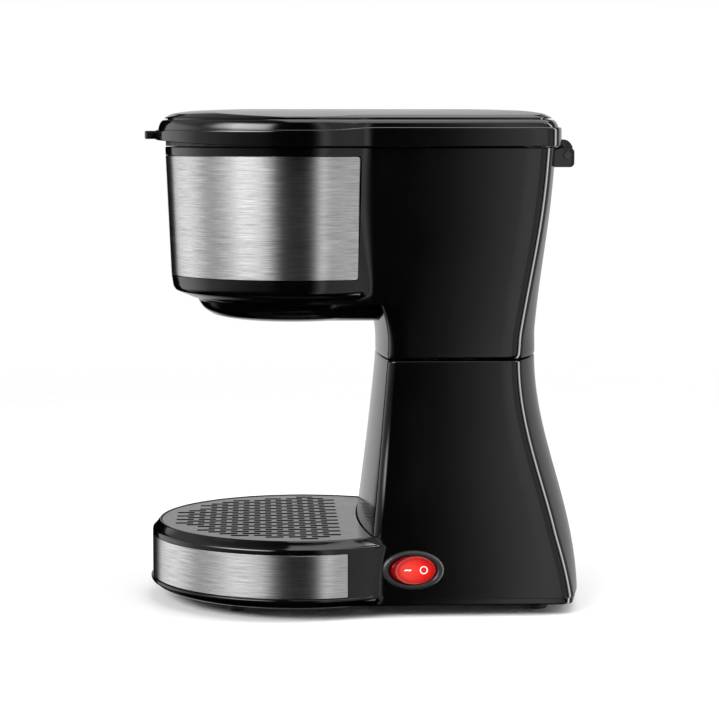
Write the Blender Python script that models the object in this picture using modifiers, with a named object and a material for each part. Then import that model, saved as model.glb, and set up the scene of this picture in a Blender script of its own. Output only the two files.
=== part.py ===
"""Single-serve drip coffee maker with a pinched column, built as separate pieces.

The front faces -Y and the top faces +Z. The machine is symmetric about X = 0, apart from its switch,
which is on the +X side. The origin is on the table, under the middle of the whole machine.
Every size is in millimetres, and MM turns it into metres where a mesh is made.
"""

from math import asin, atan2, cos, hypot, pi, radians, sin, sqrt

import bmesh
import bpy
from mathutils import Matrix, Vector

MM = 0.001
GAP = 0.4  # between two pieces that touch on the real machine
WALL = 2.5  # of the two housings

# Heights above the table.
BOTTOM_Z = 5.7
LIP_TOP_Z = 11.2
LOWER_BAND = (11.6, 33.6)
RIDGE_Z = 36.8
DECK_Z = 40.4
SEAM_Z = 128.3
DISH_Z = 146.2
HEAD_FLOOR_Z = 157.2
UPPER_BAND = (169.9, 231.3)
HOUSING_TOP_Z = 235.9
LID_BOTTOM_Z = 236.4
LID_RIDGE_Z = 246.0
LID_EDGE_Z = 250.8
LID_TOP_Z = 255.3
LID_LIFT = 3.0  # how much higher the rim's lower edge is at the front

# The round front of the machine, and the column behind it.
BULB_Y = -31.7
BASE_R = 77.8
LIP_R = 78.7
SOLE_R = 72.2  # of the round front where the lip meets the bottom cover
HEAD_R_LOW = 66.8
HEAD_R_TOP = 69.6
LID_R = 74.7
LID_SIDE = 68.2
LID_REAR = 103.6
WAIST_HALF = 48.5
TOP_HALF = 63.0
FOOT_HALF = 68.2
WAIST_REAR = 90.8
TOP_REAR = 101.0
FOOT_REAR = 113.9
WAIST_SWELL = 1.0  # the rear stands out this much more just round the seam
WAIST_FRONT = 8.65
FRONT_BOW = 4.5
WAIST_BOW = 13.0
REAR_BOW = 8.0
FRONT_CORNER = 5.0
REAR_CORNER = 7.0
BASE_NECK_Y = 9.3  # where the hollow neck runs out into the column's side
HEAD_NECK_Y = 4.8
LOWER_BAND_ANGLE = radians(90 + 16.9)  # from straight ahead to each end of the band
UPPER_BAND_ANGLE = radians(90 + 25.0)
BAND_THICK = 0.8
MIDDLE_Y = 1.15  # of the whole machine in these numbers, which build() moves to the origin

# The drip tray.
GRID_R = 73.0
GRID_THICK = 2.2
TRAY_FLOOR_Z = 17.0
SLOT_PITCH_Y = 5.84
SLOT_PITCH_X = 10.9
SLOT_LENGTH = 8.6
SLOT_WIDTH = 3.4

# The brewing parts.
DISH_Y = -34.7
BREW_Y = -34.7
BASKET_R = 50.0
DECK_PLATE_Z = 228.6
RISER_Y = 28.8
TANK_FRONT = 38.3
TANK_FLOOR_Z = 168.0

# Moving axes.
HINGE_Y = 106.0
HINGE_Z = 231.5
PIN_R = 2.0
VENT_Y = -36.7
SWITCH_Y = 24.0
SWITCH_Z = 24.1
SWITCH_TILT = radians(7.0)
ROCKER_REST = radians(7.0)
CORD_Z = 16.0

ARC_STEPS = 12
CORNER_STEPS = 3
SIDE_STEPS = 1
REAR_STEPS = 4
ROUND = 24


# Scene, collections and materials.

for leftover in list(bpy.data.objects):
    bpy.data.objects.remove(leftover)
MAKER = bpy.data.collections.new("drip_coffee_maker")
CUTTERS = bpy.data.collections.new("cutters")
bpy.context.scene.collection.children.link(MAKER)
bpy.context.scene.collection.children.link(CUTTERS)

FINISHES = {
    "gloss_black": ((0.012, 0.012, 0.013), 0.0, 0.16),
    "satin_black": ((0.03, 0.03, 0.032), 0.0, 0.45),
    "brushed_steel": ((0.62, 0.62, 0.61), 1.0, 0.32),
    "plain_steel": ((0.55, 0.55, 0.55), 1.0, 0.4),
    "aluminium": ((0.70, 0.71, 0.72), 1.0, 0.38),
    "rubber": ((0.02, 0.02, 0.02), 0.0, 0.8),
    "silicone": ((0.75, 0.76, 0.74), 0.0, 0.5),
    "red_lens": ((0.65, 0.01, 0.01), 0.0, 0.12),
    "white_plastic": ((0.78, 0.77, 0.74), 0.0, 0.5),
    "wire_sleeve": ((0.55, 0.03, 0.02), 0.0, 0.6),
    "filter_mesh": ((0.60, 0.60, 0.58), 1.0, 0.5),
    "grey_tray": ((0.42, 0.42, 0.43), 0.0, 0.35),
}


def material(name):
    made = bpy.data.materials.get(name)
    if made:
        return made
    colour, metallic, roughness = FINISHES[name]
    made = bpy.data.materials.new(name)
    made.use_nodes = True
    made.diffuse_color = (*colour, 1.0)
    shader = made.node_tree.nodes["Principled BSDF"]
    shader.inputs["Base Color"].default_value = (*colour, 1.0)
    shader.inputs["Metallic"].default_value = metallic
    shader.inputs["Roughness"].default_value = roughness
    return made


def object_of(name, mesh, finish):
    """An object for the mesh: a sub-part in its finish, or a cutter when finish is None."""
    made = bpy.data.objects.new(name, mesh)
    if finish is None:
        CUTTERS.objects.link(made)
        made.hide_render = True
        made.display_type = "WIRE"
        return made
    MAKER.objects.link(made)
    mesh.materials.append(material(finish))
    mesh.shade_smooth()
    mesh.set_sharp_from_angle(angle=radians(32))
    return made


def finished(name, bm, finish):
    bmesh.ops.recalc_face_normals(bm, faces=bm.faces)
    mesh = bpy.data.meshes.new(name)
    bm.to_mesh(mesh)
    bm.free()
    return object_of(name, mesh, finish)


def combine(target, other, operation):
    """Cuts other out of target, or joins it on, and hides other among the cutters."""
    change = target.modifiers.new(other.name, "BOOLEAN")
    change.operation = operation
    change.object = other
    return target


def cut(target, *cutters):
    for cutter in cutters:
        combine(target, cutter, "DIFFERENCE")
    return target


def join(target, *others):
    for other in others:
        combine(target, other, "UNION")
    return target


# Plain shapes.


def loft(name, sections, finish=None):
    """A closed solid through sections that each have the same number of (x, y, z) points."""
    bm = bmesh.new()
    rings = [[bm.verts.new(Vector(p) * MM) for p in section] for section in sections]
    count = len(rings[0])
    for low, high in zip(rings, rings[1:]):
        for i in range(count):
            j = (i + 1) % count
            bm.faces.new((low[i], low[j], high[j], high[i]))
    bm.faces.new(reversed(rings[0]))
    bm.faces.new(rings[-1])
    return finished(name, bm, finish)


def prism(name, outline, low, high, finish=None, turn=None):
    """A flat outline drawn out along Z, from low to high, and then turned."""
    curve = bpy.data.curves.new(name, "CURVE")
    curve.dimensions = "2D"
    curve.fill_mode = "BOTH"
    curve.extrude = (high - low) / 2 * MM
    spline = curve.splines.new("POLY")
    spline.points.add(len(outline) - 1)
    spline.use_cyclic_u = True
    for point, (u, v) in zip(spline.points, outline):
        point.co = (u * MM, v * MM, 0, 1)
    drawn = bpy.data.objects.new(name, curve)
    middle = Matrix.Translation((0, 0, (low + high) / 2 * MM))
    drawn.matrix_world = (turn or Matrix.Identity(4)) @ middle
    return as_mesh(drawn, finish)


def as_mesh(drawn, finish):
    """The mesh of a curve object, with its flat caps welded on. It replaces the curve object."""
    CUTTERS.objects.link(drawn)
    name, place = drawn.name, drawn.matrix_world.copy()
    graph = bpy.context.evaluated_depsgraph_get()
    mesh = bpy.data.meshes.new_from_object(drawn.evaluated_get(graph))
    bpy.data.objects.remove(drawn)
    bm = bmesh.new()
    bm.from_mesh(mesh)
    bmesh.ops.remove_doubles(bm, verts=bm.verts, dist=0.000001)
    bmesh.ops.dissolve_limit(bm, angle_limit=radians(1), verts=bm.verts, edges=bm.edges)
    made = finished(name, bm, finish)
    made.matrix_world = place
    return made


# Turns an outline of (y, z) points that was drawn in (x, y), so that Z becomes X.
TO_SIDE = Matrix(((0, 0, 1, 0), (1, 0, 0, 0), (0, 1, 0, 0), (0, 0, 0, 1)))


def arc(x, y, radius, start, end, steps):
    """steps + 1 points along an arc, from the start angle to the end angle."""
    angles = [start + (end - start) * i / steps for i in range(steps + 1)]
    return [(x + radius * cos(a), y + radius * sin(a)) for a in angles]


def box(name, x, y, z, finish=None):
    """A box between two values on each axis."""
    bm = bmesh.new()
    size = Matrix.Diagonal(((x[1] - x[0]) * MM, (y[1] - y[0]) * MM, (z[1] - z[0]) * MM, 1))
    middle = Matrix.Translation(Vector((sum(x), sum(y), sum(z))) * MM / 2)
    bmesh.ops.create_cube(bm, size=1, matrix=middle @ size)
    return finished(name, bm, finish)


def rod(name, start, end, radius, finish=None, steps=ROUND):
    """A straight round rod between two points."""
    start, end = Vector(start) * MM, Vector(end) * MM
    turn = (end - start).to_track_quat("Z", "X").to_matrix().to_4x4()
    bm = bmesh.new()
    bmesh.ops.create_cone(bm, cap_ends=True, segments=steps, radius1=radius * MM,
                          radius2=radius * MM, depth=(end - start).length,
                          matrix=Matrix.Translation((start + end) / 2) @ turn)
    return finished(name, bm, finish)


def upright(name, x, y, radius, low, high, finish=None, steps=ROUND):
    return rod(name, (x, y, low), (x, y, high), radius, finish, steps)


def turned(name, profile, at, finish, steps=32):
    """A ring turned about the upright line through at, from a closed (radius, z) profile.

    The profile runs down its outer side and up its inner side.
    """
    mesh = bpy.data.meshes.new(name)
    points = [(r * MM, 0, z * MM) for r, z in profile]
    edges = [(i, (i + 1) % len(points)) for i in range(len(points))]
    mesh.from_pydata(points, edges, [])
    made = object_of(name, mesh, finish)
    made.location = (at[0] * MM, at[1] * MM, 0)
    screw = made.modifiers.new("turn", "SCREW")
    screw.angle = 2 * pi
    screw.steps = steps
    screw.render_steps = steps
    screw.use_merge_vertices = True
    screw.merge_threshold = 0.0001
    screw.use_smooth_shade = True
    return made


def smooth_route(points, spacing):
    """Points read from a Catmull-Rom curve through the route's own points."""
    route = [Vector(p) for p in points]
    ends = [2 * route[0] - route[1], *route, 2 * route[-1] - route[-2]]
    made = []
    for a, b, c, d in zip(ends, ends[1:], ends[2:], ends[3:]):
        steps = max(2, round((c - b).length / spacing))
        for i in range(steps):
            t = i / steps
            made.append(
                0.5 * (2 * b + (c - a) * t + (2 * a - 5 * b + 4 * c - d) * t * t
                       + (3 * b - a - 3 * c + d) * t**3)
            )
    return [*made, route[-1]]


def tube(name, points, radius, finish, spacing=11.0, resolution=1):
    """A solid round rod or hose along a smooth route."""
    curve = bpy.data.curves.new(name, "CURVE")
    curve.dimensions = "3D"
    curve.bevel_depth = radius * MM
    curve.bevel_resolution = resolution
    curve.use_fill_caps = True
    spline = curve.splines.new("POLY")
    route = smooth_route(points, spacing)
    spline.points.add(len(route) - 1)
    for point, place in zip(spline.points, route):
        point.co = (*(place * MM), 1)
    curve.materials.append(material(finish))
    made = bpy.data.objects.new(name, curve)
    MAKER.objects.link(made)
    return made


# The outlines that the housings, the lid and their linings share.


def share_up(z):
    return (z - SEAM_Z) / (HOUSING_TOP_Z - SEAM_Z)


def share_down(z, end=BOTTOM_Z):
    return (SEAM_Z - z) / (SEAM_Z - end)


def flare(share):
    """0 at the waist, easing to 1 at the foot."""
    return (1 - cos(pi * min(share, 1.0))) / 2


def half_width(z):
    if z >= SEAM_Z:
        s = share_up(z)
        return WAIST_HALF + (TOP_HALF - WAIST_HALF) * (1 - max(0.0, 1 - s) ** 2.2)
    return WAIST_HALF + (FOOT_HALF - WAIST_HALF) * flare(share_down(z, 12.0))


def rear(z):
    if z >= SEAM_Z:
        s = share_up(z)
        swell = WAIST_SWELL * flare(max(0.0, 1 - (z - SEAM_Z) / 14.0))
        return WAIST_REAR + swell + (TOP_REAR - WAIST_REAR) * (s - 0.05 * sin(2 * pi * s))
    waist = WAIST_REAR + WAIST_SWELL
    return waist + (FOOT_REAR - waist) * flare(share_down(z, 6.0))


def rear_bow(z):
    """How far the rear face bulges past its corners. It is flattest at the top and the foot."""
    if z >= SEAM_Z:
        return REAR_BOW + (WAIST_BOW - REAR_BOW) * max(0.0, 1 - share_up(z)) ** 2
    return WAIST_BOW - 4.5 * max(0.0, (share_down(z) - 0.7) / 0.3) ** 1.3


def front(z):
    """The column's front on the middle line. It leans forward under the head and at its foot."""
    if z >= SEAM_Z:
        return WAIST_FRONT - 0.009 * max(0.0, z - 134.0) ** 2
    return WAIST_FRONT - 9.9 * share_down(z, SEAM_Z - 88.0) ** 1.15


def rear_half(half, back, corner, bow):
    """The side and rear of an outline, from the side's front end to the middle of the rear."""
    big = (half**2 + bow**2) / (2 * bow)
    corner = min(corner, half * 0.4)
    y = back - big + sqrt((big - corner) ** 2 - (half - corner) ** 2)
    turn = atan2(y - (back - big), half - corner)
    corner_arc = arc(half - corner, y, corner, 0, turn, CORNER_STEPS)
    return corner_arc, arc(0, back - big, big, turn, pi / 2, REAR_STEPS)[1:]


def mirrored(half_outline):
    return half_outline + [(-x, y) for x, y in reversed(half_outline[1:-1])]


def side_line(a, b):
    steps = SIDE_STEPS + 1
    return [(a[0] + (b[0] - a[0]) * i / steps, a[1] + (b[1] - a[1]) * i / steps)
            for i in range(1, steps)]


def column_outline(half, face, back, corner=FRONT_CORNER, bow_rear=REAR_BOW):
    """A box with bowed front and rear faces and rounded corners."""
    bow = FRONT_BOW * (half / WAIST_HALF)
    big = (half**2 + bow**2) / (2 * bow)
    y = face + big - sqrt((big - corner) ** 2 - (half - corner) ** 2)
    turn = atan2(y - (face + big), half - corner)
    made = arc(0, face + big, big, -pi / 2, turn, ARC_STEPS)
    made += arc(half - corner, y, corner, turn, 0, CORNER_STEPS)[1:]
    rear_corner, rear_arc = rear_half(half, back, REAR_CORNER, bow_rear)
    return mirrored(made + side_line(made[-1], rear_corner[0]) + rear_corner + rear_arc)


def keyhole_outline(radius, half, back, neck_y, bow_rear=REAR_BOW):
    """A round front that runs through a hollow neck into the column's sides."""
    wide = max(radius, half + 1.5)
    neck = ((neck_y - BULB_Y) ** 2 / (wide - half) - wide - half) / 2
    neck = min(max(neck, 8.0), 300.0)
    y = BULB_Y + sqrt((wide + neck) ** 2 - (half + neck) ** 2)
    turn = atan2(y - BULB_Y, half + neck)
    made = arc(0, BULB_Y, wide, -pi / 2, turn, ARC_STEPS)
    made = [(x, y if y > BULB_Y else BULB_Y + (y - BULB_Y) * radius / wide) for x, y in made]
    made += arc(half + neck, y, neck, pi + turn, pi, CORNER_STEPS)[1:]
    rear_corner, rear_arc = rear_half(half, back, REAR_CORNER, bow_rear)
    return mirrored(made + side_line(made[-1], rear_corner[0]) + rear_corner + rear_arc)


def at_height(outline, z):
    return [(x, y, z) for x, y in outline]


def column_section(z, inset=0.0, face=None):
    face = front(z) + inset if face is None else face
    corner = max(FRONT_CORNER - inset, 1.5)
    outline = column_outline(half_width(z) - inset, face, rear(z) - inset, corner, rear_bow(z))
    return at_height(outline, z)


def keyhole_section(z, radius, inset=0.0):
    neck_y = HEAD_NECK_Y if z > SEAM_Z else BASE_NECK_Y
    outline = keyhole_outline(radius - inset, half_width(z) - inset, rear(z) - inset, neck_y,
                              rear_bow(z))
    return at_height(outline, z)


def head_radius(z):
    low, high = UPPER_BAND
    return HEAD_R_LOW + (HEAD_R_TOP - HEAD_R_LOW) * max(0.0, (z - low) / (HOUSING_TOP_Z - low))


def lid_section(z, inset, lift=0.0):
    """A ring of the lid. Lift raises it towards the front."""
    outline = keyhole_outline(LID_R - inset, LID_SIDE - inset, LID_REAR - inset, HEAD_NECK_Y)
    return [(x, y, z + lift * max(0.0, (BULB_Y - y) / LID_R) ** 2.5) for x, y in outline]


def band(name, angle, z, radii, thick, finish=None):
    """A curved strip round the front, with its inner radius at the bottom and at the top."""
    steps = 30
    sections = []
    for i in range(steps + 1):
        a = -pi / 2 - angle + 2 * angle * i / steps
        ring = []
        for radius, height in ((radii[0], z[0]), (radii[1], z[1])):
            for r in (radius, radius + thick):
                ring.append((r * cos(a), BULB_Y + r * sin(a), height))
        sections.append([ring[0], ring[1], ring[3], ring[2]])
    return loft(name, sections, finish)


# Base and lower column.


def base_sections():
    column_heights = (DECK_Z + 0.3, 54, 69, 84, 99, 114)
    rings = [
        keyhole_section(BOTTOM_Z, SOLE_R, 1.2),
        keyhole_section(BOTTOM_Z + 0.9, LIP_R - 3.2, 0.9),
        keyhole_section(BOTTOM_Z + 2.4, LIP_R - 1.2, 0.6),
        keyhole_section(LIP_TOP_Z - 0.8, LIP_R),
        keyhole_section(LIP_TOP_Z, BASE_R),
        keyhole_section(RIDGE_Z - 1.4, BASE_R),
        keyhole_section(RIDGE_Z, BASE_R - 0.9),
        keyhole_section(DECK_Z, GRID_R + 0.9),
    ]
    rings += [column_section(z) for z in column_heights]
    return rings + [column_section(SEAM_Z - 1.2), column_section(SEAM_Z - 0.4, 0.5)]


def tray_outline(radius, clearance):
    """The tray's round outline, hollowed at the back to follow the column's front."""
    half, face = half_width(DECK_Z), front(DECK_Z) - clearance
    bow = FRONT_BOW * (half / WAIST_HALF)
    big = (half**2 + bow**2) / (2 * bow)
    centre = face + big
    # The round outline meets the column's front arc where both have the same distance.
    gap = centre - BULB_Y
    y = (radius**2 - big**2 + gap**2) / (2 * gap) + BULB_Y
    x = sqrt(radius**2 - (y - BULB_Y) ** 2)
    start = atan2(y - BULB_Y, x)
    sweep = arc(0, BULB_Y, radius, -pi - start, start, 34)
    back = asin(x / big)
    return sweep + arc(0, centre, big, -pi / 2 + back, -pi / 2 - back, 8)[1:-1]


def base_housing():
    shell = loft("base_housing", base_sections(), "gloss_black")
    hollow = loft("base_hollow", [
        keyhole_section(BOTTOM_Z - 1.0, SOLE_R, WALL + 1.2),
        keyhole_section(BOTTOM_Z + 2.2, SOLE_R, WALL + 1.2),
        keyhole_section(BOTTOM_Z + 3.4, BASE_R, WALL),
        keyhole_section(DECK_Z - 6.5, BASE_R, WALL),
        keyhole_section(DECK_Z - 3.0, GRID_R + 0.9, WALL),
        column_section(DECK_Z, WALL),
        *[column_section(z, WALL) for z in (62, 84, 106)],
        column_section(SEAM_Z + 1.0, WALL),
    ])
    well_wall = prism("well_wall", tray_outline(GRID_R + 2.6, -2.0), TRAY_FLOOR_Z - 2.8, 60)
    cut(hollow, well_wall)
    well = prism("well", tray_outline(GRID_R + 0.4, -0.1), TRAY_FLOOR_Z - 0.6, 60)
    low, high = LOWER_BAND
    recess = band("lower_recess", LOWER_BAND_ANGLE + 0.006, (low - 0.3, high + 0.3),
                  (BASE_R - 1.2, BASE_R - 1.2), 5)
    cut(shell, hollow, well, recess)
    for i, (x, y) in enumerate(BASE_SCREWS):
        join(shell, upright(f"boss_{i}", x, y, 3.6, BOTTOM_Z + 3.0, TRAY_FLOOR_Z - 1.5, steps=10))
        cut(shell, upright(f"boss_bore_{i}", x, y, 1.8, 0, TRAY_FLOOR_Z - 5.0, steps=10))
    return cut(shell, switch_oval("switch_opening", 13.8, 8.5, -12, 12),
               rod("cord_opening", (0, 95, CORD_Z), (0, 120, CORD_Z), 5.2, steps=16))


BASE_SCREWS = [(-58, -40), (58, -40), (-52, 0), (52, 0)]
FEET = [(-45, -63.7), (45, -63.7), (-46, 89.3), (46, 89.3)]


def base_plate():
    thick = 2.0
    inset = 1.2 + WALL + GAP
    outline = [p[:2] for p in keyhole_section(BOTTOM_Z, SOLE_R, inset)]
    plate = prism("base_plate", outline, BOTTOM_Z, BOTTOM_Z + thick, "satin_black")
    for i, (x, y) in enumerate(BASE_SCREWS):
        cut(plate, upright(f"plate_hole_{i}", x, y, 1.9, 0, 12, steps=10))
    vents = [box(f"vent_{i}", (-24, 24), (48 + 7 * i, 51 + 7 * i), (0, 12)) for i in range(4)]
    return cut(plate, *vents)


def base_hardware():
    for i, (x, y) in enumerate(BASE_SCREWS):
        profile = [(3.1, BOTTOM_Z - 0.4), (3.1, BOTTOM_Z - 1.6), (0.8, BOTTOM_Z - 2.2),
                   (0.3, BOTTOM_Z + 5.0), (1.3, BOTTOM_Z + 5.0), (1.3, BOTTOM_Z - 0.4)]
        turned(f"base_screw_{i + 1}", profile, (x, y), "plain_steel", 10)
    for i, (x, y) in enumerate(FEET):
        profile = [(5.6, BOTTOM_Z - GAP), (5.6, 1.2), (4.8, 0.0), (1.2, 0.0), (1.2, BOTTOM_Z - GAP)]
        turned(f"foot_{i + 1}", profile, (x, y), "rubber", 16)


def drip_tray():
    top = DECK_Z - GRID_THICK - 0.7
    tray = prism("drip_tray", tray_outline(GRID_R - 0.3, 0.6), TRAY_FLOOR_Z, top, "gloss_black")
    inside = prism("tray_inside", tray_outline(GRID_R - 2.1, 2.4), TRAY_FLOOR_Z + 1.8, 60)
    return cut(tray, inside)


def slot_places():
    """Centres of the staggered slots that fit on the plate, well inside its edge."""
    made = []
    for column in range(16):
        y = -16.3 - column * SLOT_PITCH_Y
        shift = SLOT_PITCH_X / 2 * (column % 2)
        for row in range(-7, 7):
            x = row * SLOT_PITCH_X + shift
            rim = hypot(abs(x) + SLOT_WIDTH / 2, abs(y - BULB_Y) + SLOT_LENGTH / 2)
            back = front(DECK_Z) + 0.0017 * x * x - 10.6
            if rim < GRID_R - 5.0 and y + SLOT_LENGTH / 2 < back:
                made.append((x, y))
    return made


def slots(name, low, high):
    """All the slots as one cutter."""
    bm = bmesh.new()
    size = Matrix.Diagonal((SLOT_WIDTH * MM, SLOT_LENGTH * MM, (high - low) * MM, 1))
    for x, y in slot_places():
        middle = Matrix.Translation(Vector((x, y, (low + high) / 2)) * MM)
        bmesh.ops.create_cube(bm, size=1, matrix=middle @ size)
    return finished(name, bm, None)


def drip_grid():
    top = DECK_Z - 0.3
    plate = prism("drip_grid", tray_outline(GRID_R - 0.3, 0.6), top - GRID_THICK, top, "grey_tray")
    return cut(plate, slots("slots", top - 6, top + 6))


# Head and upper column.


def head_sections():
    column_heights = (136, 144, 151, HEAD_FLOOR_Z - 0.6)
    under = ((HEAD_FLOOR_Z, 52.8), (159.3, 58.9), (161.4, 64.0), (164.1, 65.8))
    rings = [column_section(SEAM_Z + 0.3, 0.2), column_section(SEAM_Z + 0.9)]
    rings += [column_section(z) for z in column_heights]
    rings += [keyhole_section(z, radius) for z, radius in under]
    return rings + [keyhole_section(z, head_radius(z)) for z in (170, 203, HOUSING_TOP_Z)]


def hinge_lug(name, low, high):
    """One of the two ears at the top of the rear face, which hold the hinge pin."""
    back, top, foot, corner = 109.5, 235.2, 225.4, 2.2
    outline = [(96.0, foot), *arc(back - corner, foot + corner, corner, -pi / 2, 0, 4),
               *arc(back - corner, top - corner, corner, 0, pi / 2, 4), (96.0, top)]
    return prism(name, outline, low, high, turn=TO_SIDE)


def upper_housing():
    shell = loft("upper_housing", head_sections(), "gloss_black")
    hollow = loft("head_hollow", [
        column_section(SEAM_Z - 2, WALL),
        *[column_section(z, WALL) for z in (140, 151)],
        column_section(HEAD_FLOOR_Z + 1.8, WALL),
        keyhole_section(HEAD_FLOOR_Z + 2.4, 52.8, WALL),
        keyhole_section(163.6, 64.0, WALL),
        *[keyhole_section(z, head_radius(z), WALL) for z in (170, 203, HOUSING_TOP_Z + 1.5)],
    ])
    low, high = UPPER_BAND
    slope = (HEAD_R_TOP - HEAD_R_LOW) / (HOUSING_TOP_Z - low)
    recess = band("upper_recess", UPPER_BAND_ANGLE + 0.006, (low - 0.3, high + 0.3),
                  (head_radius(low) - 1.2, head_radius(high) + 0.3 * slope - 1.2), 5)
    floor_hole = upright("floor_hole", 0, DISH_Y, 40, 150, 160)
    lugs = [hinge_lug("lug_right", 20, 26), hinge_lug("lug_left", -26, -20)]
    join(shell, *lugs)
    pin_hole = hinge_rod("pin_hole", PIN_R + 0.25, 40)
    return cut(shell, hollow, recess, floor_hole, pin_hole)


def steel_bands():
    low, high = UPPER_BAND
    radii = (head_radius(low) - BAND_THICK, head_radius(high) - BAND_THICK)
    band("upper_steel_band", UPPER_BAND_ANGLE, UPPER_BAND, radii, BAND_THICK, "brushed_steel")
    inner = BASE_R - BAND_THICK
    band("lower_steel_band", LOWER_BAND_ANGLE, LOWER_BAND, (inner, inner), BAND_THICK,
         "brushed_steel")


def funnel_section(z, radius):
    """A round front with parallel sides that run back into the column's front."""
    turn = radians(34)
    made = arc(0, DISH_Y, radius, -pi / 2, turn, 14)
    return at_height(mirrored([*made, (made[-1][0], 16.0), (0, 16.0)]), z)


def drip_funnel():
    """The dish under the head, which gathers the coffee and lets it out over the mug."""
    top = HEAD_FLOOR_Z - 0.6 - GAP
    profile = ((DISH_Z, 21.0), (147.3, 35.5), (149.5, 43.2), (152.3, 47.2), (top, 49.8))
    dish = loft("drip_funnel", [funnel_section(z, r) for z, r in profile], "gloss_black")
    inside = loft("funnel_inside", [funnel_section(z + 1.8, r - 1.8) for z, r in profile])
    heights = (140, 144, 151, 158)
    column = loft("funnel_clearance", [column_section(z, -GAP) for z in heights])
    rear_wall = loft("funnel_rear_wall", [column_section(z, -GAP - 2.0) for z in heights])
    cut(inside, rear_wall)
    outlet = upright("outlet", 0, DISH_Y, 3.2, 140, 152, steps=16)
    return cut(dish, column, inside, outlet)


def tank_section(z, inset):
    half, back = half_width(z) - 5.2 - inset, rear(z) - 5.2 - inset
    return at_height(column_outline(half, TANK_FRONT + inset, back, 6.0), z)


def water_tank():
    """One moulding: the tank at the back and the deck that carries the filter basket."""
    top = DECK_PLATE_Z + 2.4
    outline = [p[:2] for p in keyhole_section(DECK_PLATE_Z, head_radius(DECK_PLATE_Z), WALL + GAP)]
    deck = prism("water_tank", outline, DECK_PLATE_Z, top, "satin_black")
    heights = (TANK_FLOOR_Z, 190, 210, DECK_PLATE_Z + 1.0)
    cup = loft("tank_cup", [tank_section(h, 0) for h in heights])
    inside = loft("tank_inside", [tank_section(h, 2.2) for h in (TANK_FLOOR_Z + 2.2, 190, 210, 236)])
    join(deck, cup)
    brew = upright("brew_hole", 0, BREW_Y, BASKET_R + 1.0, 200, 240, steps=32)
    outlet = upright("tank_outlet", *TANK_OUTLET, 4.0, 160, 172, steps=12)
    riser = upright("riser_hole", 0, RISER_Y, 4.6, 220, 240, steps=12)
    return cut(deck, inside, brew, outlet, riser)


TANK_OUTLET = (-24, 58)


def filter_basket():
    """A tapered cup with a rim that rests on the deck and a spout over the funnel."""
    rim = DECK_PLATE_Z + 2.4 + GAP
    outer = [(BASKET_R + 4.5, rim + 2.0), (BASKET_R + 4.5, rim), (BASKET_R, rim), (39.0, 168.0),
             (8.0, 165.0), (6.0, 158.0)]
    inner = [(1.9, 158.0), (1.9, 166.6), (37.4, 169.8), (BASKET_R - 1.8, rim + 2.0)]
    return turned("filter_basket", outer + inner, (0, BREW_Y), "satin_black", 28)


def mesh_filter():
    """The reusable filter that stands in the basket: a rim and a woven cone."""
    rim = DECK_PLATE_Z + 1.0
    outer = [(BASKET_R - 2.8, rim), (BASKET_R - 3.3, rim - 3.0), (35.0, 176.0), (8.0, 174.0)]
    inner = [(0.3, 174.0), (0.3, 175.0), (34.2, 177.0), (BASKET_R - 4.6, rim - 3.0),
             (BASKET_R - 4.6, rim)]
    return turned("mesh_filter", outer + inner, (0, BREW_Y), "filter_mesh", 28)


# Lid.


def lid_shell():
    rings = ((LID_RIDGE_Z - 1.0, 0.0), (LID_RIDGE_Z, 0.6), (248.4, 2.2), (LID_EDGE_Z, 5.4),
             (252.8, 8.0), (253.7, 14.0), (254.6, 27.0), (LID_TOP_Z, 54.0))
    sections = [lid_section(z, inset) for z, inset in rings]
    shell = loft("lid_shell", [lid_section(LID_BOTTOM_Z, 0.0, LID_LIFT), *sections], "gloss_black")
    hollow = loft("lid_hollow", [lid_section(z, inset) for z, inset in
                                 ((230, 2.4), (LID_RIDGE_Z - 1.5, 2.4), (LID_EDGE_Z - 2.2, 8.2))])
    tab = loft("lid_tab", [[(x * grow, y, z) for x, y in
                            ((-13, -104), (-11, -111.5), (11, -111.5), (13, -104))]
                           for z, grow in ((239.8, 0.96), (240.6, 1.0), (243.4, 1.0), (244.0, 0.96))])
    join(shell, tab, lid_knuckle())
    cut(shell, hollow)
    vent = upright("vent_hole", 0, VENT_Y, 8.7, 240, 260)
    return cut(shell, vent, hinge_rod("lid_pin_hole", PIN_R + 0.25, 40))


def lid_knuckle():
    """The arm on the lid's rear rim that turns on the pin, between the two ears."""
    barrel = 3.35
    outline = [*arc(HINGE_Y, HINGE_Z, barrel, -pi, 0, 8), (HINGE_Y + barrel, 236.2),
               *arc(HINGE_Y + barrel - 5.0, 234.6, 5.0, 0.35, pi / 2, 4),
               (HINGE_Y - barrel, 239.6)]
    return prism("lid_knuckle", outline, -19.4, 19.4, turn=TO_SIDE)


def lid_fittings():
    low = HOUSING_TOP_Z + GAP
    liner = loft("lid_liner", [lid_section(z, 5.4) for z in (low, low + 3.2)], "satin_black")
    cut(liner, upright("liner_vent", 0, VENT_Y, 5.0, 230, 245, steps=16))
    top = low - GAP
    profile = [(30.0, top), (30.0, top - 1.4), (27.5, top - 2.6), (3.0, top - 2.6), (3.0, top)]
    head = turned("shower_head", profile, (0, BREW_Y), "satin_black", 24)
    holes = arc(0, BREW_Y, 15, 0, 1.6 * pi, 4) + arc(0, BREW_Y, 23, 0.2, 1.75 * pi + 0.2, 7)
    for i, (x, y) in enumerate(holes):
        cut(head, upright(f"spray_{i}", x, y, 1.2, 225, 242, steps=6))
    seal_profile = [(7.8, top), (7.0, DECK_PLATE_Z + 2.8), (5.2, DECK_PLATE_Z + 2.8), (5.2, top)]
    turned("riser_seal", seal_profile, (0, RISER_Y), "silicone", 20)
    cap = [(8.3, 254.4), (8.3, 251.2), (2.4, 251.2), (2.4, 254.0)]
    turned("steam_vent_cap", cap, (0, VENT_Y), "satin_black", 24)


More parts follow.
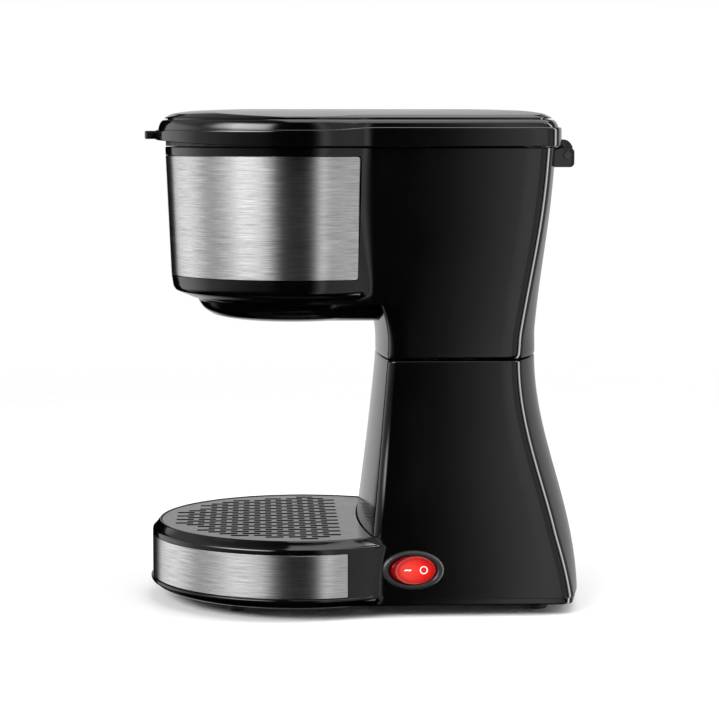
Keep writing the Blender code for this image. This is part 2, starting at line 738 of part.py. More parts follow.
def hinge_rod(name, radius, half, finish=None):
    """A round rod on the hinge's axis."""
    return rod(name, (-half, HINGE_Y, HINGE_Z), (half, HINGE_Y, HINGE_Z), radius, finish, 16)


# Switch. Its own axes are u, along the machine, v, up the slope of the side, and n, outwards.


def switch_axes():
    """The matrix that takes the switch's own (u, v, n) to the machine's axes."""
    c, s = cos(SWITCH_TILT), sin(SWITCH_TILT)
    turn = Matrix(((0, -s, c, 0), (1, 0, 0, 0), (0, c, s, 0), (0, 0, 0, 1)))
    return Matrix.Translation(Vector((half_width(SWITCH_Z), SWITCH_Y, SWITCH_Z)) * MM) @ turn


def switch_oval(name, across, up, low, high, grow=1.0, finish=None):
    """An oval disc on the switch's face. Its outer rim is grow times the size of its inner rim."""
    bm = bmesh.new()
    shape = Matrix.Diagonal((across * MM, up * MM, (high - low) * MM, 1))
    middle = Matrix.Translation((0, 0, (low + high) / 2 * MM))
    bmesh.ops.create_cone(bm, cap_ends=True, segments=32, radius1=1, radius2=grow, depth=1,
                          matrix=switch_axes() @ middle @ shape)
    return finished(name, bm, finish)


def switch():
    ring = switch_oval("switch_bezel", 15.7, 9.9, 0.5, 2.2, 0.93, "satin_black")
    join(ring, switch_oval("bezel_sleeve", 13.4, 8.1, -5.0, 1.0))
    cut(ring, switch_oval("bezel_opening", 12.1, 7.5, -9, 9))
    body = box("switch_body", (-12.5, 12.5), (-6.5, 6.5), (-19.0, -6.0), "satin_black")
    body.matrix_world = switch_axes()
    rocker()


def rocker():
    """The red rocker. Its outer face has two flats that meet in a shallow valley."""
    oval = [(11.3 * cos(a), 7.1 * sin(a)) for a in [2 * pi * i / 32 for i in range(32)]]
    low = [(u, v, -2.6) for u, v in oval]
    high = [(u, v, 1.6 + 0.05 * abs(u)) for u, v in oval]
    made = loft("switch_rocker", [low, high], "red_lens")
    made.matrix_world = switch_axes() @ Matrix.Rotation(ROCKER_REST, 4, "Y")


def hang_on(child, axis):
    """Parents a moving piece to the empty on its joint's axis, without moving the piece."""
    if axis.name not in MAKER.objects:
        MAKER.objects.link(axis)
    bpy.context.view_layer.update()
    child.parent = axis
    child.matrix_parent_inverse = axis.matrix_world.inverted()


# Water path and wiring inside the column.


def water_path():
    tube("water_tube", [(-20, 88, 26), (-20, 60, 26), (-20, 40, 26), (-10, 26, 26), (0, 24, 26),
                        (10, 26, 26), (20, 40, 26), (20, 60, 26), (20, 88, 26)], 5.0, "aluminium", 9, 2)
    tube("heating_element", [(-20, 84, 16.4), (-20, 60, 16.4), (-20, 40, 16.4), (-10, 26, 16.4),
                             (0, 24, 16.4), (10, 26, 16.4), (20, 40, 16.4), (20, 60, 16.4),
                             (20, 84, 16.4)], 3.6, "plain_steel", 9)
    x, y = TANK_OUTLET
    turned("check_valve", [(5.2, TANK_FLOOR_Z - GAP), (5.2, 156.0), (2.4, 156.0),
                           (2.4, TANK_FLOOR_Z - GAP)], (x, y), "white_plastic", 16)
    tube("inlet_hose", [(x, y, 155.4), (x, y, 140), (-24, 62, 110), (-24, 76, 70), (-22, 94, 46),
                        (-20, 97, 32), (-20, 92, 26.5), (-20, 88.6, 26)], 4.2, "silicone")
    tube("riser_hose", [(20, 88.6, 26), (20, 93, 27), (20, 95, 34), (18, 88, 56), (12, 60, 96),
                        (4, 34, 128), (0, 28.5, 150), (0, RISER_Y, 170), (0, RISER_Y, 200),
                        (0, RISER_Y, DECK_PLATE_Z + 2.0)], 3.6, "silicone")


def heater_fittings():
    bracket = box("heater_bracket", (-27, 27), (46, 54), (24, 34), "plain_steel")
    cut(bracket, box("bracket_gap", (-13, 13), (40, 60), (20, 32)))
    for i, x in enumerate((-20.3, 20.3)):
        cut(bracket, rod(f"strap_hole_{i}", (x, 40, 26), (x, 60, 26), 6.0, steps=16))
    upright("thermostat", 0, 50, 8.0, 34.4, 41.0, "white_plastic", 20)
    rod("thermal_fuse", (0, 38, 27.8), (0, 62, 27.8), 3.0, "wire_sleeve", 12)
    box("terminal_block", (-16, 16), (70, 80), (9.2, 20.0), "white_plastic")


def cord_inlet():
    """The grommet in the rear face that the mains lead would enter through."""
    back = rear(CORD_Z)
    body = rod("cord_grommet", (0, back - 11, CORD_Z), (0, back - 0.4, CORD_Z), 4.7, "rubber", 16)
    join(body, rod("grommet_lip", (0, back - 7.0, CORD_Z), (0, back - 4.4, CORD_Z), 6.6, steps=16))
    return cut(body, rod("grommet_bore", (0, 80, CORD_Z), (0, 130, CORD_Z), 3.3, steps=12))


def wires():
    live = [(46, 20, 20), (42, 24, 34), (38, 44, 46), (30, 64, 46), (14, 74, 38), (10, 75, 20.4)]
    heater = [(46, 30, 22), (38, 32, 33), (26, 40, 37), (9, 47, 38)]
    neutral = [(-8.8, 50, 38), (-30, 56, 40), (-32, 68, 42), (-15, 74, 38), (-10, 75, 20.4)]
    for name, route in (("live", live), ("heater", heater), ("neutral", neutral)):
        tube(f"wire_{name}", route, 1.2, "wire_sleeve", 9)


def hinge_lid():
    """Puts the lid's pieces on an empty at the hinge."""
    axis = bpy.data.objects.new("lid_axis", None)
    axis.location = (0, HINGE_Y * MM, HINGE_Z * MM)
    for name in ("lid_shell", "lid_liner", "shower_head", "riser_seal", "steam_vent_cap"):
        hang_on(bpy.data.objects[name], axis)


def build():
    base_housing()
    base_plate()
    base_hardware()
    drip_tray()
    drip_grid()
    upper_housing()
    steel_bands()
    drip_funnel()
    water_tank()
    filter_basket()
    mesh_filter()
    lid_shell()
    lid_fittings()
    hinge_rod("hinge_pin", PIN_R, 26.6, "plain_steel")
    switch()
    water_path()
    heater_fittings()
    cord_inlet()
    wires()
    hinge_lid()
    for item in bpy.data.objects:
        if item.parent is None:
            item.location.y -= MIDDLE_Y * MM


build()
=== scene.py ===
"""Looks for the drip coffee maker: fine outer shells, procedural finishes, studio light and camera.

Lengths in the shape code are millimetres, and MM turns them into metres where a mesh is made.
The front faces -Y, the switch is on the +X side, and Z is up.
"""

from math import asin, atan2, cos, hypot, pi, radians, sin, sqrt

import bmesh
import bpy
from mathutils import Matrix, Vector

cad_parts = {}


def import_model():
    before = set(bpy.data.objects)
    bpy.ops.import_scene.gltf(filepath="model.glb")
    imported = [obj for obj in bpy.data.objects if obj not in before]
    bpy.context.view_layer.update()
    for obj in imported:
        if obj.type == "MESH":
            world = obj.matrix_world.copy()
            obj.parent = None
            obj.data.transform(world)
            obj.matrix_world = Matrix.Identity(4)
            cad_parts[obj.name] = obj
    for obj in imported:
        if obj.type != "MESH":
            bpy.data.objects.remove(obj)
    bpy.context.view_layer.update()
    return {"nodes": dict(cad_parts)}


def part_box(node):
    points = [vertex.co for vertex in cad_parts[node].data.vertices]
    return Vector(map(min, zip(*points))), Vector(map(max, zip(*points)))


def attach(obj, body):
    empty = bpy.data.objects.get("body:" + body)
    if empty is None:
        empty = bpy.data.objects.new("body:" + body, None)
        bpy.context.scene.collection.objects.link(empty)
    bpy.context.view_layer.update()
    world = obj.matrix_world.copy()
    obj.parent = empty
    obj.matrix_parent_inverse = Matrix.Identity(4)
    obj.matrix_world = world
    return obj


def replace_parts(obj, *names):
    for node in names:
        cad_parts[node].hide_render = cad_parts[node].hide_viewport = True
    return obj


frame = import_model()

NODES = frame["nodes"]
MM = 0.001


def millimetres(node):
    """A CAD node's box in millimetres."""
    low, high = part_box(node)
    return [v / MM for v in low], [v / MM for v in high]


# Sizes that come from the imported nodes.

LOWER_BAND = [corner[2] for corner in millimetres("lower_steel_band")]
UPPER_BAND = [corner[2] for corner in millimetres("upper_steel_band")]
GRID_LOW, GRID_TOP = [corner[2] for corner in millimetres("drip_grid")]
BASE_R = millimetres("lower_steel_band")[1][0]
LIP_R = millimetres("base_housing")[1][0]

# The outlines put the tip of the lid's tab at TAB_TIP_Y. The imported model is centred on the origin,
# so every new piece moves by SHIFT_Y to meet it.
TAB_TIP_Y = -111.5
SHIFT_Y = millimetres("lid_shell")[0][1] - TAB_TIP_Y

# Sizes of the outlines, mostly as in the CAD solids.

WALL = 2.5
BOTTOM_Z = 5.7
LIP_TOP_Z = 11.2
SOLE_R = 72.2
RIDGE_Z = 36.8
DECK_Z = 40.4
SEAM_Z = 128.3
HEAD_FLOOR_Z = 157.2
HOUSING_TOP_Z = 235.9
LID_BOTTOM_Z = 236.4
LID_LIFT = 3.0
BULB_Y = -31.7
GRID_R = 73.0
HEAD_R_LOW = 66.8
HEAD_R_TOP = 69.6
HEAD_R_MEAN = 68
LID_R = 74.7
LID_SIDE = 68.2
LID_REAR = 103.6
WAIST_HALF = 48.5
TOP_HALF = 63.0
FOOT_HALF = 68.2
WAIST_REAR = 90.8
TOP_REAR = 101.0
FOOT_REAR = 113.9
WAIST_SWELL = 1.0
WAIST_FRONT = 8.65
FRONT_BOW = 4.5
WAIST_BOW = 13.0
REAR_BOW = 8.0
FRONT_CORNER = 5.0
REAR_CORNER = 7.0
BASE_NECK_Y = 9.3
HEAD_NECK_Y = 4.8
LOWER_BAND_ANGLE = radians(106.9)
UPPER_BAND_ANGLE = radians(115)
BAND_THICK = 0.8
BAND_EDGE = 0.2
BAND_GAP = 0.35
BAND_SINK = 1.25
BAND_SPARE_ANGLE = 0.006
TRAY_FLOOR_Z = 17.0
SLOT_FIRST_Y = -16.3
SLOT_PITCH_Y = 5.84
SLOT_PITCH_X = 10.9
SLOT_LENGTH = 8.6
SLOT_WIDTH = 3.4
SLOT_CORNER = 0.7
SLOT_RIM = 5.0
DISH_Y = -34.7
DISH_WALL = 1.8
HINGE_Y = 106.0
HINGE_Z = 231.5
PIN_R = 2.0
PIN_PLAY = 0.25
VENT_Y = -36.7
VENT_R = 8.7
CROWN_Z = 255.25
CROWN_DROP = 4.3
CROWN_R = LID_R - 5.1
RECESS_Y = -75
RECESS_Z = 253.5
SWITCH_Y = 24.0
SWITCH_Z = 24.1
SWITCH_TILT = radians(7.0)
ROCKER_REST = radians(7.0)
ROCKER_FACE = 1.38
ROCKER_RISE = 0.05
MARK_SUNK = -0.1
MARK_PROUD = 0.06

FINE = {"arc": 64, "corner": 12, "side": 10, "rear": 24}
COARSE = {"arc": 20, "corner": 4, "side": 2, "rear": 8}
SMOOTH_ANGLE = radians(30)


# Mesh helpers.


def piece(name, mesh, body, slot, looks=None):
    """A new visible piece on a CAD body. Its looks go by its slot's name unless they are given."""
    mesh.transform(Matrix.Translation((0, SHIFT_Y * MM, 0)))
    made = bpy.data.objects.new(name, mesh)
    bpy.context.scene.collection.objects.link(made)
    mesh.materials.append(LOOKS[looks or slot])
    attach(made, body)
    return made


def finished(name, bm):
    """The mesh of bm, smooth except along its sharp edges."""
    bmesh.ops.recalc_face_normals(bm, faces=bm.faces)
    mesh = bpy.data.meshes.new(name)
    bm.to_mesh(mesh)
    bm.free()
    mesh.shade_smooth()
    mesh.set_sharp_from_angle(angle=SMOOTH_ANGLE)
    return mesh


def rings_of(bm, sections):
    return [[bm.verts.new(Vector(p) * MM) for p in section] for section in sections]


def bridge(bm, rings):
    """Faces between each ring of vertices and the next."""
    for low, high in zip(rings, rings[1:]):
        for i in range(len(low)):
            j = (i + 1) % len(low)
            bm.faces.new((low[i], low[j], high[j], high[i]))


def add_solid(bm, sections):
    """A closed solid through sections that have the same number of points."""
    rings = rings_of(bm, sections)
    bridge(bm, rings)
    bm.faces.new(reversed(rings[0]))
    bm.faces.new(rings[-1])


def loft(name, sections):
    """The mesh of one closed solid."""
    bm = bmesh.new()
    add_solid(bm, sections)
    return finished(name, bm)


def closed_loft(name, sections):
    """A ring-shaped solid: its last section joins its first."""
    bm = bmesh.new()
    rings = rings_of(bm, sections)
    bridge(bm, [*rings, rings[0]])
    return finished(name, bm)


def prism(name, outline, low, high):
    """A flat (x, y) outline drawn out from low to high."""
    return loft(name, [at_height(outline, z) for z in (low, high)])


def rod(name, start, end, radius, steps=48):
    start, end = Vector(start) * MM, Vector(end) * MM
    turn = (end - start).to_track_quat("Z", "X").to_matrix().to_4x4()
    bm = bmesh.new()
    bmesh.ops.create_cone(bm, cap_ends=True, segments=steps, radius1=radius * MM,
                          radius2=radius * MM, depth=(end - start).length,
                          matrix=Matrix.Translation((start + end) / 2) @ turn)
    return finished(name, bm)


def carved(mesh, cutters=(), joined=()):
    """The mesh with solids joined on and others cut away, both as exact Booleans."""
    holder = bpy.data.objects.new("carving", mesh)
    bpy.context.scene.collection.objects.link(holder)
    helpers = []
    for kind, group in (("UNION", joined), ("DIFFERENCE", cutters)):
        for other in group:
            helper = bpy.data.objects.new("helper", other)
            bpy.context.scene.collection.objects.link(helper)
            change = holder.modifiers.new("change", "BOOLEAN")
            change.operation = kind
            change.object = helper
            change.solver = "EXACT"
            helpers.append(helper)
    graph = bpy.context.evaluated_depsgraph_get()
    made = bpy.data.meshes.new_from_object(holder.evaluated_get(graph))
    made.name = mesh.name
    for used in [holder, *helpers]:
        bpy.data.objects.remove(used)
    made.materials.clear()
    made.shade_smooth()
    made.set_sharp_from_angle(angle=SMOOTH_ANGLE)
    return made


def rounded(obj, width, segments):
    """Gives the piece's sharp edges a small radius."""
    bevel = obj.modifiers.new("edge_radius", "BEVEL")
    bevel.width = width * MM
    bevel.segments = segments
    bevel.limit_method = "ANGLE"
    bevel.angle_limit = radians(50)
    bevel.use_clamp_overlap = True
    bevel.harden_normals = True


def smooth_values(points, steps):
    """Tuples read from a Catmull-Rom curve through the given tuples."""
    ends = [points[0], *points, points[-1]]
    made = []
    for a, b, c, d in zip(ends, ends[1:], ends[2:], ends[3:]):
        for i in range(steps):
            t = i / steps
            made.append(tuple(
                0.5 * (2 * q + (r - p) * t + (2 * p - 5 * q + 4 * r - s) * t * t
                       + (3 * q - p - 3 * r + s) * t**3)
                for p, q, r, s in zip(a, b, c, d)))
    return [*made, points[-1]]


def between(low, high, pitch):
    """Even heights from low to high."""
    steps = max(1, round((high - low) / pitch))
    return [low + (high - low) * i / steps for i in range(steps + 1)]


def arc(x, y, radius, start, end, steps):
    angles = [start + (end - start) * i / steps for i in range(steps + 1)]
    return [(x + radius * cos(a), y + radius * sin(a)) for a in angles]


def at_height(outline, z):
    return [(x, y, z) for x, y in outline]


# The outlines of the housings and the lid, the same curves as the CAD solids, in finer steps.


def share_up(z):
    """0 at the seam between the two housings, 1 at the top. share_down is the same, downwards."""
    return (z - SEAM_Z) / (HOUSING_TOP_Z - SEAM_Z)


def share_down(z, end=BOTTOM_Z):
    return (SEAM_Z - z) / (SEAM_Z - end)


def flare(share):
    """A soft step from 0 to 1."""
    return (1 - cos(pi * min(share, 1.0))) / 2


def half_width(z):
    if z >= SEAM_Z:
        return WAIST_HALF + (TOP_HALF - WAIST_HALF) * (1 - max(0.0, 1 - share_up(z)) ** 2.2)
    return WAIST_HALF + (FOOT_HALF - WAIST_HALF) * flare(share_down(z, 12.0))


def rear(z):
    if z >= SEAM_Z:
        s = share_up(z)
        swell = WAIST_SWELL * flare(max(0.0, 1 - (z - SEAM_Z) / 14.0))
        return WAIST_REAR + swell + (TOP_REAR - WAIST_REAR) * (s - 0.05 * sin(2 * pi * s))
    waist = WAIST_REAR + WAIST_SWELL
    return waist + (FOOT_REAR - waist) * flare(share_down(z, 6.0))


def rear_bow(z):
    if z >= SEAM_Z:
        return REAR_BOW + (WAIST_BOW - REAR_BOW) * max(0.0, 1 - share_up(z)) ** 2
    return WAIST_BOW - 4.5 * max(0.0, (share_down(z) - 0.7) / 0.3) ** 1.3


def front(z):
    if z >= SEAM_Z:
        return WAIST_FRONT - 0.009 * max(0.0, z - 134.0) ** 2
    return WAIST_FRONT - 9.9 * share_down(z, SEAM_Z - 88.0) ** 1.15


def rear_half(half, back, corner, bow, steps):
    """The rear corner and the bowed rear wall, up to the middle line."""
    big = (half**2 + bow**2) / (2 * bow)
    corner = min(corner, half * 0.4)
    y = back - big + sqrt((big - corner) ** 2 - (half - corner) ** 2)
    turn = atan2(y - (back - big), half - corner)
    corner_arc = arc(half - corner, y, corner, 0, turn, steps["corner"])
    return corner_arc, arc(0, back - big, big, turn, pi / 2, steps["rear"])[1:]


def mirrored(half_outline):
    """The whole outline from its +X half, which starts and ends on the middle line."""
    return half_outline + [(-x, y) for x, y in reversed(half_outline[1:-1])]


def side_line(a, b, steps):
    count = steps["side"]
    return [(a[0] + (b[0] - a[0]) * i / count, a[1] + (b[1] - a[1]) * i / count)
            for i in range(1, count)]


def column_outline(half, face, back, corner, bow_rear, steps):
    """A bowed front, rounded front corners, straight sides and a bowed rear."""
    bow = FRONT_BOW * (half / WAIST_HALF)
    big = (half**2 + bow**2) / (2 * bow)
    y = face + big - sqrt((big - corner) ** 2 - (half - corner) ** 2)
    turn = atan2(y - (face + big), half - corner)
    made = arc(0, face + big, big, -pi / 2, turn, steps["arc"])
    made += arc(half - corner, y, corner, turn, 0, steps["corner"])[1:]
    rear_corner, rear_arc = rear_half(half, back, REAR_CORNER, bow_rear, steps)
    return mirrored(made + side_line(made[-1], rear_corner[0], steps) + rear_corner + rear_arc)


def keyhole_outline(radius, half, back, neck_y, bow_rear, steps):
    """A round front that runs through two necks into straight sides and a bowed rear."""
    wide = max(radius, half + 1.5)
    neck = ((neck_y - BULB_Y) ** 2 / (wide - half) - wide - half) / 2
    neck = min(max(neck, 8.0), 300.0)
    y = BULB_Y + sqrt((wide + neck) ** 2 - (half + neck) ** 2)
    turn = atan2(y - BULB_Y, half + neck)
    made = arc(0, BULB_Y, wide, -pi / 2, turn, steps["arc"])
    made = [(x, y if y > BULB_Y else BULB_Y + (y - BULB_Y) * radius / wide) for x, y in made]
    made += arc(half + neck, y, neck, pi + turn, pi, steps["corner"])[1:]
    rear_corner, rear_arc = rear_half(half, back, REAR_CORNER, bow_rear, steps)
    return mirrored(made + side_line(made[-1], rear_corner[0], steps) + rear_corner + rear_arc)


def column_section(z, inset=0.0, steps=FINE):
    corner = max(FRONT_CORNER - inset, 1.5)
    return at_height(column_outline(half_width(z) - inset, front(z) + inset, rear(z) - inset,
                                    corner, rear_bow(z), steps), z)


def keyhole_section(z, radius, inset=0.0, steps=FINE):
    neck_y = HEAD_NECK_Y if z > SEAM_Z else BASE_NECK_Y
    return at_height(keyhole_outline(radius - inset, half_width(z) - inset, rear(z) - inset,
                                     neck_y, rear_bow(z), steps), z)


def head_radius(z):
    low = UPPER_BAND[0]
    return HEAD_R_LOW + (HEAD_R_TOP - HEAD_R_LOW) * max(0.0, (z - low) / (HOUSING_TOP_Z - low))


def ridge_wave(y):
    """How far the lid's ridge sits below its full height: it steps down round the front."""
    t = min(max((y + 20.0) / 26.0, 0.0), 1.0)
    return 1.3 * (1 - t * t * (3 - 2 * t))


def lid_section(z, inset, lift=0.0, wave=0.0, steps=FINE):
    outline = keyhole_outline(LID_R - inset, LID_SIDE - inset, LID_REAR - inset, HEAD_NECK_Y,
                              REAR_BOW, steps)
    return [(x, y, z + lift * max(0.0, (BULB_Y - y) / LID_R) ** 2.5 - wave * ridge_wave(y))
            for x, y in outline]


def band_strip(name, angle, z, radii, thick, corner, steps=220):
    """A curved strip round the front, with rounded corners and softened outer edges.

    The steps are shorter near the two ends, where the corners are.
    """
    slope = (radii[1] - radii[0]) / (z[1] - z[0])
    sections = []
    for i in range(steps + 1):
        share = i / steps * 2 - 1
        if abs(share) > 0.9:
            a = angle * sin(share * pi / 2)
        else:
            a = angle * share * sin(0.45 * pi) / 0.9
        left = (angle - abs(a)) * radii[0]
        cut = corner - sqrt(max(0.0, corner**2 - max(0.0, corner - left) ** 2))
        low, high = z[0] + cut, z[1] - cut
        ring = [(0.0, low), (thick - BAND_EDGE, low), (thick, low + BAND_EDGE),
                (thick, high - BAND_EDGE), (thick - BAND_EDGE, high), (0.0, high)]
        reaches = [(radii[0] + slope * (h - z[0]) + out, h) for out, h in ring]
        sections.append([(r * sin(a), BULB_Y - r * cos(a), h) for r, h in reaches])
    return loft(name, sections)


def band_recess(angle, z, radii, corner):
    """The shallow pocket a steel band lies in, a little larger than the band."""
    return band_strip("recess", angle + BAND_SPARE_ANGLE, (z[0] - BAND_GAP, z[1] + BAND_GAP),
                      [r - BAND_SINK for r in radii], 5, corner, 160)


# Procedural finishes. Every map is built from object coordinates, so it moves with its piece.


def colour_ramp(tree, factor, stops):
    """A ramp from (position, colour) pairs."""
    made = tree.nodes.new("ShaderNodeValToRGB")
    elements = made.color_ramp.elements
    while len(elements) < len(stops):
        elements.new(0.5)
    for element, (position, colour) in zip(elements, stops):
        element.position = position
        element.color = (*colour, 1)
    tree.links.new(factor, made.inputs["Fac"])
    return made.outputs["Color"]


def grey_ramp(tree, factor, stops):
    return colour_ramp(tree, factor, [(position, (value,) * 3) for position, value in stops])


def eased(tree, value, start, end, kind="SMOOTHSTEP"):
    """0 at start and 1 at end, with a soft beginning and end."""
    made = tree.nodes.new("ShaderNodeMapRange")
    made.interpolation_type = kind
    made.inputs["From Min"].default_value = start
    made.inputs["From Max"].default_value = end
    tree.links.new(value, made.inputs["Value"])
    return made.outputs["Result"]


def calculated(tree, operation, values):
    """A Math node. Each of its inputs is a number or a socket."""
    made = tree.nodes.new("ShaderNodeMath")
    made.operation = operation
    for socket, value in zip(made.inputs, values):
        if isinstance(value, (int, float)):
            socket.default_value = value
        else:
            tree.links.new(value, socket)
    return made.outputs["Value"]


LOOKS = {}


class Finish:
    """A node material, kept in LOOKS under its name, with short helpers to build it."""

    def __init__(self, name, colour, metallic, roughness, **fixed):
        LOOKS[name] = bpy.data.materials.new(name)
        LOOKS[name].use_nodes = True
        self.tree = LOOKS[name].node_tree
        self.shader = self.tree.nodes["Principled BSDF"]
        self.shader.inputs["Base Color"].default_value = (*colour, 1)
        self.shader.inputs["Metallic"].default_value = metallic
        self.shader.inputs["Roughness"].default_value = roughness
        for socket, value in fixed.items():
            self.shader.inputs[socket.replace("_", " ")].default_value = value
        self.coordinates = self.node("ShaderNodeTexCoord").outputs["Object"]

    def node(self, kind, **settings):
        made = self.tree.nodes.new(kind)
        for key, value in settings.items():
            setattr(made, key, value)
        return made

    def link(self, start, end):
        self.tree.links.new(start, end)

    def split(self, vector):
        made = self.node("ShaderNodeSeparateXYZ")
        self.link(vector, made.inputs[0])
        return made.outputs

    def scaled(self, scale, source=None):
        mapping = self.node("ShaderNodeMapping")
        mapping.inputs["Scale"].default_value = scale
        self.link(source or self.coordinates, mapping.inputs["Vector"])
        return mapping.outputs["Vector"]

    def noise(self, scale, detail=4.0, source=None, rough=0.55):
        made = self.node("ShaderNodeTexNoise")
        made.inputs["Scale"].default_value = scale
        made.inputs["Detail"].default_value = detail
        made.inputs["Roughness"].default_value = rough
        self.link(source or self.coordinates, made.inputs["Vector"])
        return made.outputs["Fac"]

    def remap(self, value, start, end, low=0.3, high=0.7):
        made = self.node("ShaderNodeMapRange")
        for socket, number in (("From Min", low), ("From Max", high),
                               ("To Min", start), ("To Max", end)):
            made.inputs[socket].default_value = number
        self.link(value, made.inputs["Value"])
        return made.outputs["Result"]

    def ramp(self, value, stops):
        return colour_ramp(self.tree, value, stops)

    def math(self, operation, *values):
        return calculated(self.tree, operation, values)

    def share(self, a, part, b):
        """Part of a, and the rest from b."""
        return self.math("ADD", self.math("MULTIPLY", a, part),
                         self.math("MULTIPLY", b, round(1 - part, 6)))

    def mixed(self, share, a, b):
        made = self.node("ShaderNodeMix", data_type="RGBA")
        for socket, value in ((made.inputs[0], share), (made.inputs[6], a), (made.inputs[7], b)):
            if isinstance(value, tuple):
                socket.default_value = (*value, 1)
            else:
                self.link(value, socket)
        return made.outputs[2]

    def edges(self, low, high):
        """1 along outer edges and 0 elsewhere."""
        return self.remap(self.node("ShaderNodeNewGeometry").outputs["Pointiness"], 0, 1, low, high)

    def set(self, socket, value):
        self.link(value, self.shader.inputs[socket])

    def bump(self, height, distance, strength=1.0):
        made = self.node("ShaderNodeBump")
        made.inputs["Strength"].default_value = strength
        made.inputs["Distance"].default_value = distance
        self.link(height, made.inputs["Height"])
        self.link(made.outputs["Normal"], self.shader.inputs["Normal"])


def moulded(name, dark, light, rough, grain, depth, worn=(0.06, 0.06, 0.062), shine=0.5):
    """Moulded plastic: cloudy colour, uneven gloss, a fine surface texture and rubbed edges."""
    made = Finish(name, dark, 0.0, rough[0], Specular_IOR_Level=shine)
    colour = made.mixed(made.remap(made.noise(38, 5), 0, 1), dark, light)
    rubbed = made.math("MULTIPLY", made.edges(0.56, 0.72), 0.5)
    made.set("Base Color", made.mixed(rubbed, colour, worn))
    smears = made.noise(95, 6, made.scaled((1, 1, 0.35)))
    made.set("Roughness", made.remap(smears, *rough))
    made.bump(made.noise(grain, 3), depth)


def brushed(name, dark, light, rough, around=True, lines=3400, worn=0.9):
    """Steel brushed along its length. Around takes the strip's own angle round the front."""
    made = Finish(name, light, 1.0, rough[0])
    source = made.coordinates
    if around:
        made.shader.inputs["Anisotropic"].default_value = 0.92
        upright = made.node("ShaderNodeCombineXYZ")
        upright.inputs["Z"].default_value = 1.0
        made.set("Tangent", upright.outputs[0])
        parts = made.split(made.coordinates)
        back = made.math("SUBTRACT", parts["Y"], (BULB_Y + SHIFT_Y) * MM)
        turn = made.math("ARCTAN2", parts["X"], made.math("MULTIPLY", back, -1))
        along = made.node("ShaderNodeCombineXYZ")
        made.link(made.math("MULTIPLY", turn, HEAD_R_MEAN * MM), along.inputs["X"])
        made.link(parts["Z"], along.inputs["Z"])
        source = along.outputs[0]
    fine = made.noise(1, 3, made.scaled((70, 70, lines), source), 0.75)
    coarse = made.noise(1, 2, made.scaled((16, 16, lines / 4.5), source), 0.6)
    streaks = made.share(fine, 0.85, coarse)
    colour = made.mixed(made.remap(streaks, 0, 1, 0.34, 0.66), dark, light)
    rubbed = made.math("MULTIPLY", made.edges(0.55, 0.7), 0.6)
    made.set("Base Color", made.mixed(rubbed, colour, (worn,) * 3))
    clouds = made.noise(26, 3, source)
    made.set("Roughness", made.remap(made.share(streaks, 0.7, clouds), *rough))
    made.bump(streaks, 0.00002, 0.14)


def soft(name, dark, light, rough, grain, depth, **fixed):
    """Rubber, silicone, sleeves and matt plastic: speckled, grainy and dull."""
    made = Finish(name, dark, 0.0, rough[0], **fixed)
    specks = made.noise(220, 4)
    made.set("Base Color", made.mixed(made.remap(specks, 0, 1), dark, light))
    made.set("Roughness", made.remap(made.noise(140, 3), *rough))
    made.bump(made.noise(grain, 4), depth)


def woven(name):
    """The filter's cone: a fine metal weave with dark holes."""
    made = Finish(name, (0.6, 0.6, 0.58), 1.0, 0.4)
    waves = []
    for axis in ("X", "Z"):
        wave = made.node("ShaderNodeTexWave", bands_direction=axis)
        wave.inputs["Scale"].default_value = 420
        wave.inputs["Distortion"].default_value = 0.4
        made.link(made.coordinates, wave.inputs["Vector"])
        waves.append(wave.outputs["Fac"])
    weave = made.math("MULTIPLY", *waves)
    made.set("Base Color", made.ramp(weave, [(0.1, (0.05, 0.05, 0.05)), (0.5, (0.62, 0.62, 0.6))]))
    made.set("Roughness", made.remap(made.noise(300), 0.3, 0.55))
    made.bump(weave, 0.0002)


def red_lens():
    """Clear red plastic, lit from inside, with an oval face inside a dark rim.

    The glow is a distance from the face's middle: 0.74 is the oval's pale edge, a painted highlight.
    The pinker front part is painted highlight as well; the rest of the glow is the switch's lamp.
    """
    made = Finish("red_lens", (0.6, 0.012, 0.016), 0.0, 0.12, Specular_IOR_Level=0.15,
                  Coat_Weight=0.05, Coat_Roughness=0.05)
    centre = made.node("ShaderNodeMapping")
    centre.inputs["Location"].default_value = (0, -(SWITCH_Y + SHIFT_Y + 1.6) * MM, -SWITCH_Z * MM)
    made.link(made.coordinates, centre.inputs["Vector"])
    reach = made.node("ShaderNodeVectorMath", operation="LENGTH")
    made.link(made.scaled((0, 68, 104), centre.outputs["Vector"]), reach.inputs[0])
    cells = made.noise(900, 2)
    glow = made.math("ADD", reach.outputs["Value"], made.math("MULTIPLY", cells, 0.1))
    made.set("Base Color", made.ramp(glow, [
        (0.24, (0.4, 0.004, 0.003)), (0.68, (0.25, 0.002, 0.002)), (0.8, (0.1, 0.0, 0.001))]))
    # The pale stop at 0.74 is a painted highlight along the oval's edge.
    rim = [(0.7, (0.35, 0.01, 0.01)), (0.74, (0.6, 0.2, 0.17)), (0.78, (0.16, 0.002, 0.002)),
           (0.86, (0.04, 0.0, 0.0)), (1.0, (0.3, 0.0, 0.0))]
    # Pink glow at the front, fading to deep red at the rear: a painted highlight over the lamp's
    # glow.
    pale = made.ramp(glow, [(0.16, (0.8, 0.13, 0.09)), (0.55, (0.72, 0.09, 0.06)), *rim])
    deep = made.ramp(glow, [(0.16, (0.75, 0.03, 0.015)), (0.55, (0.6, 0.004, 0.004)), *rim])
    painted_highlight_fade = made.remap(made.split(centre.outputs["Vector"])["Y"], 0, 1, -0.007, 0.004)
    made.set("Emission Color", made.mixed(painted_highlight_fade, pale, deep))
    made.shader.inputs["Emission Strength"].default_value = 0.6
    made.set("Roughness", made.remap(made.noise(160), 0.08, 0.18))
    made.bump(cells, 0.00004)


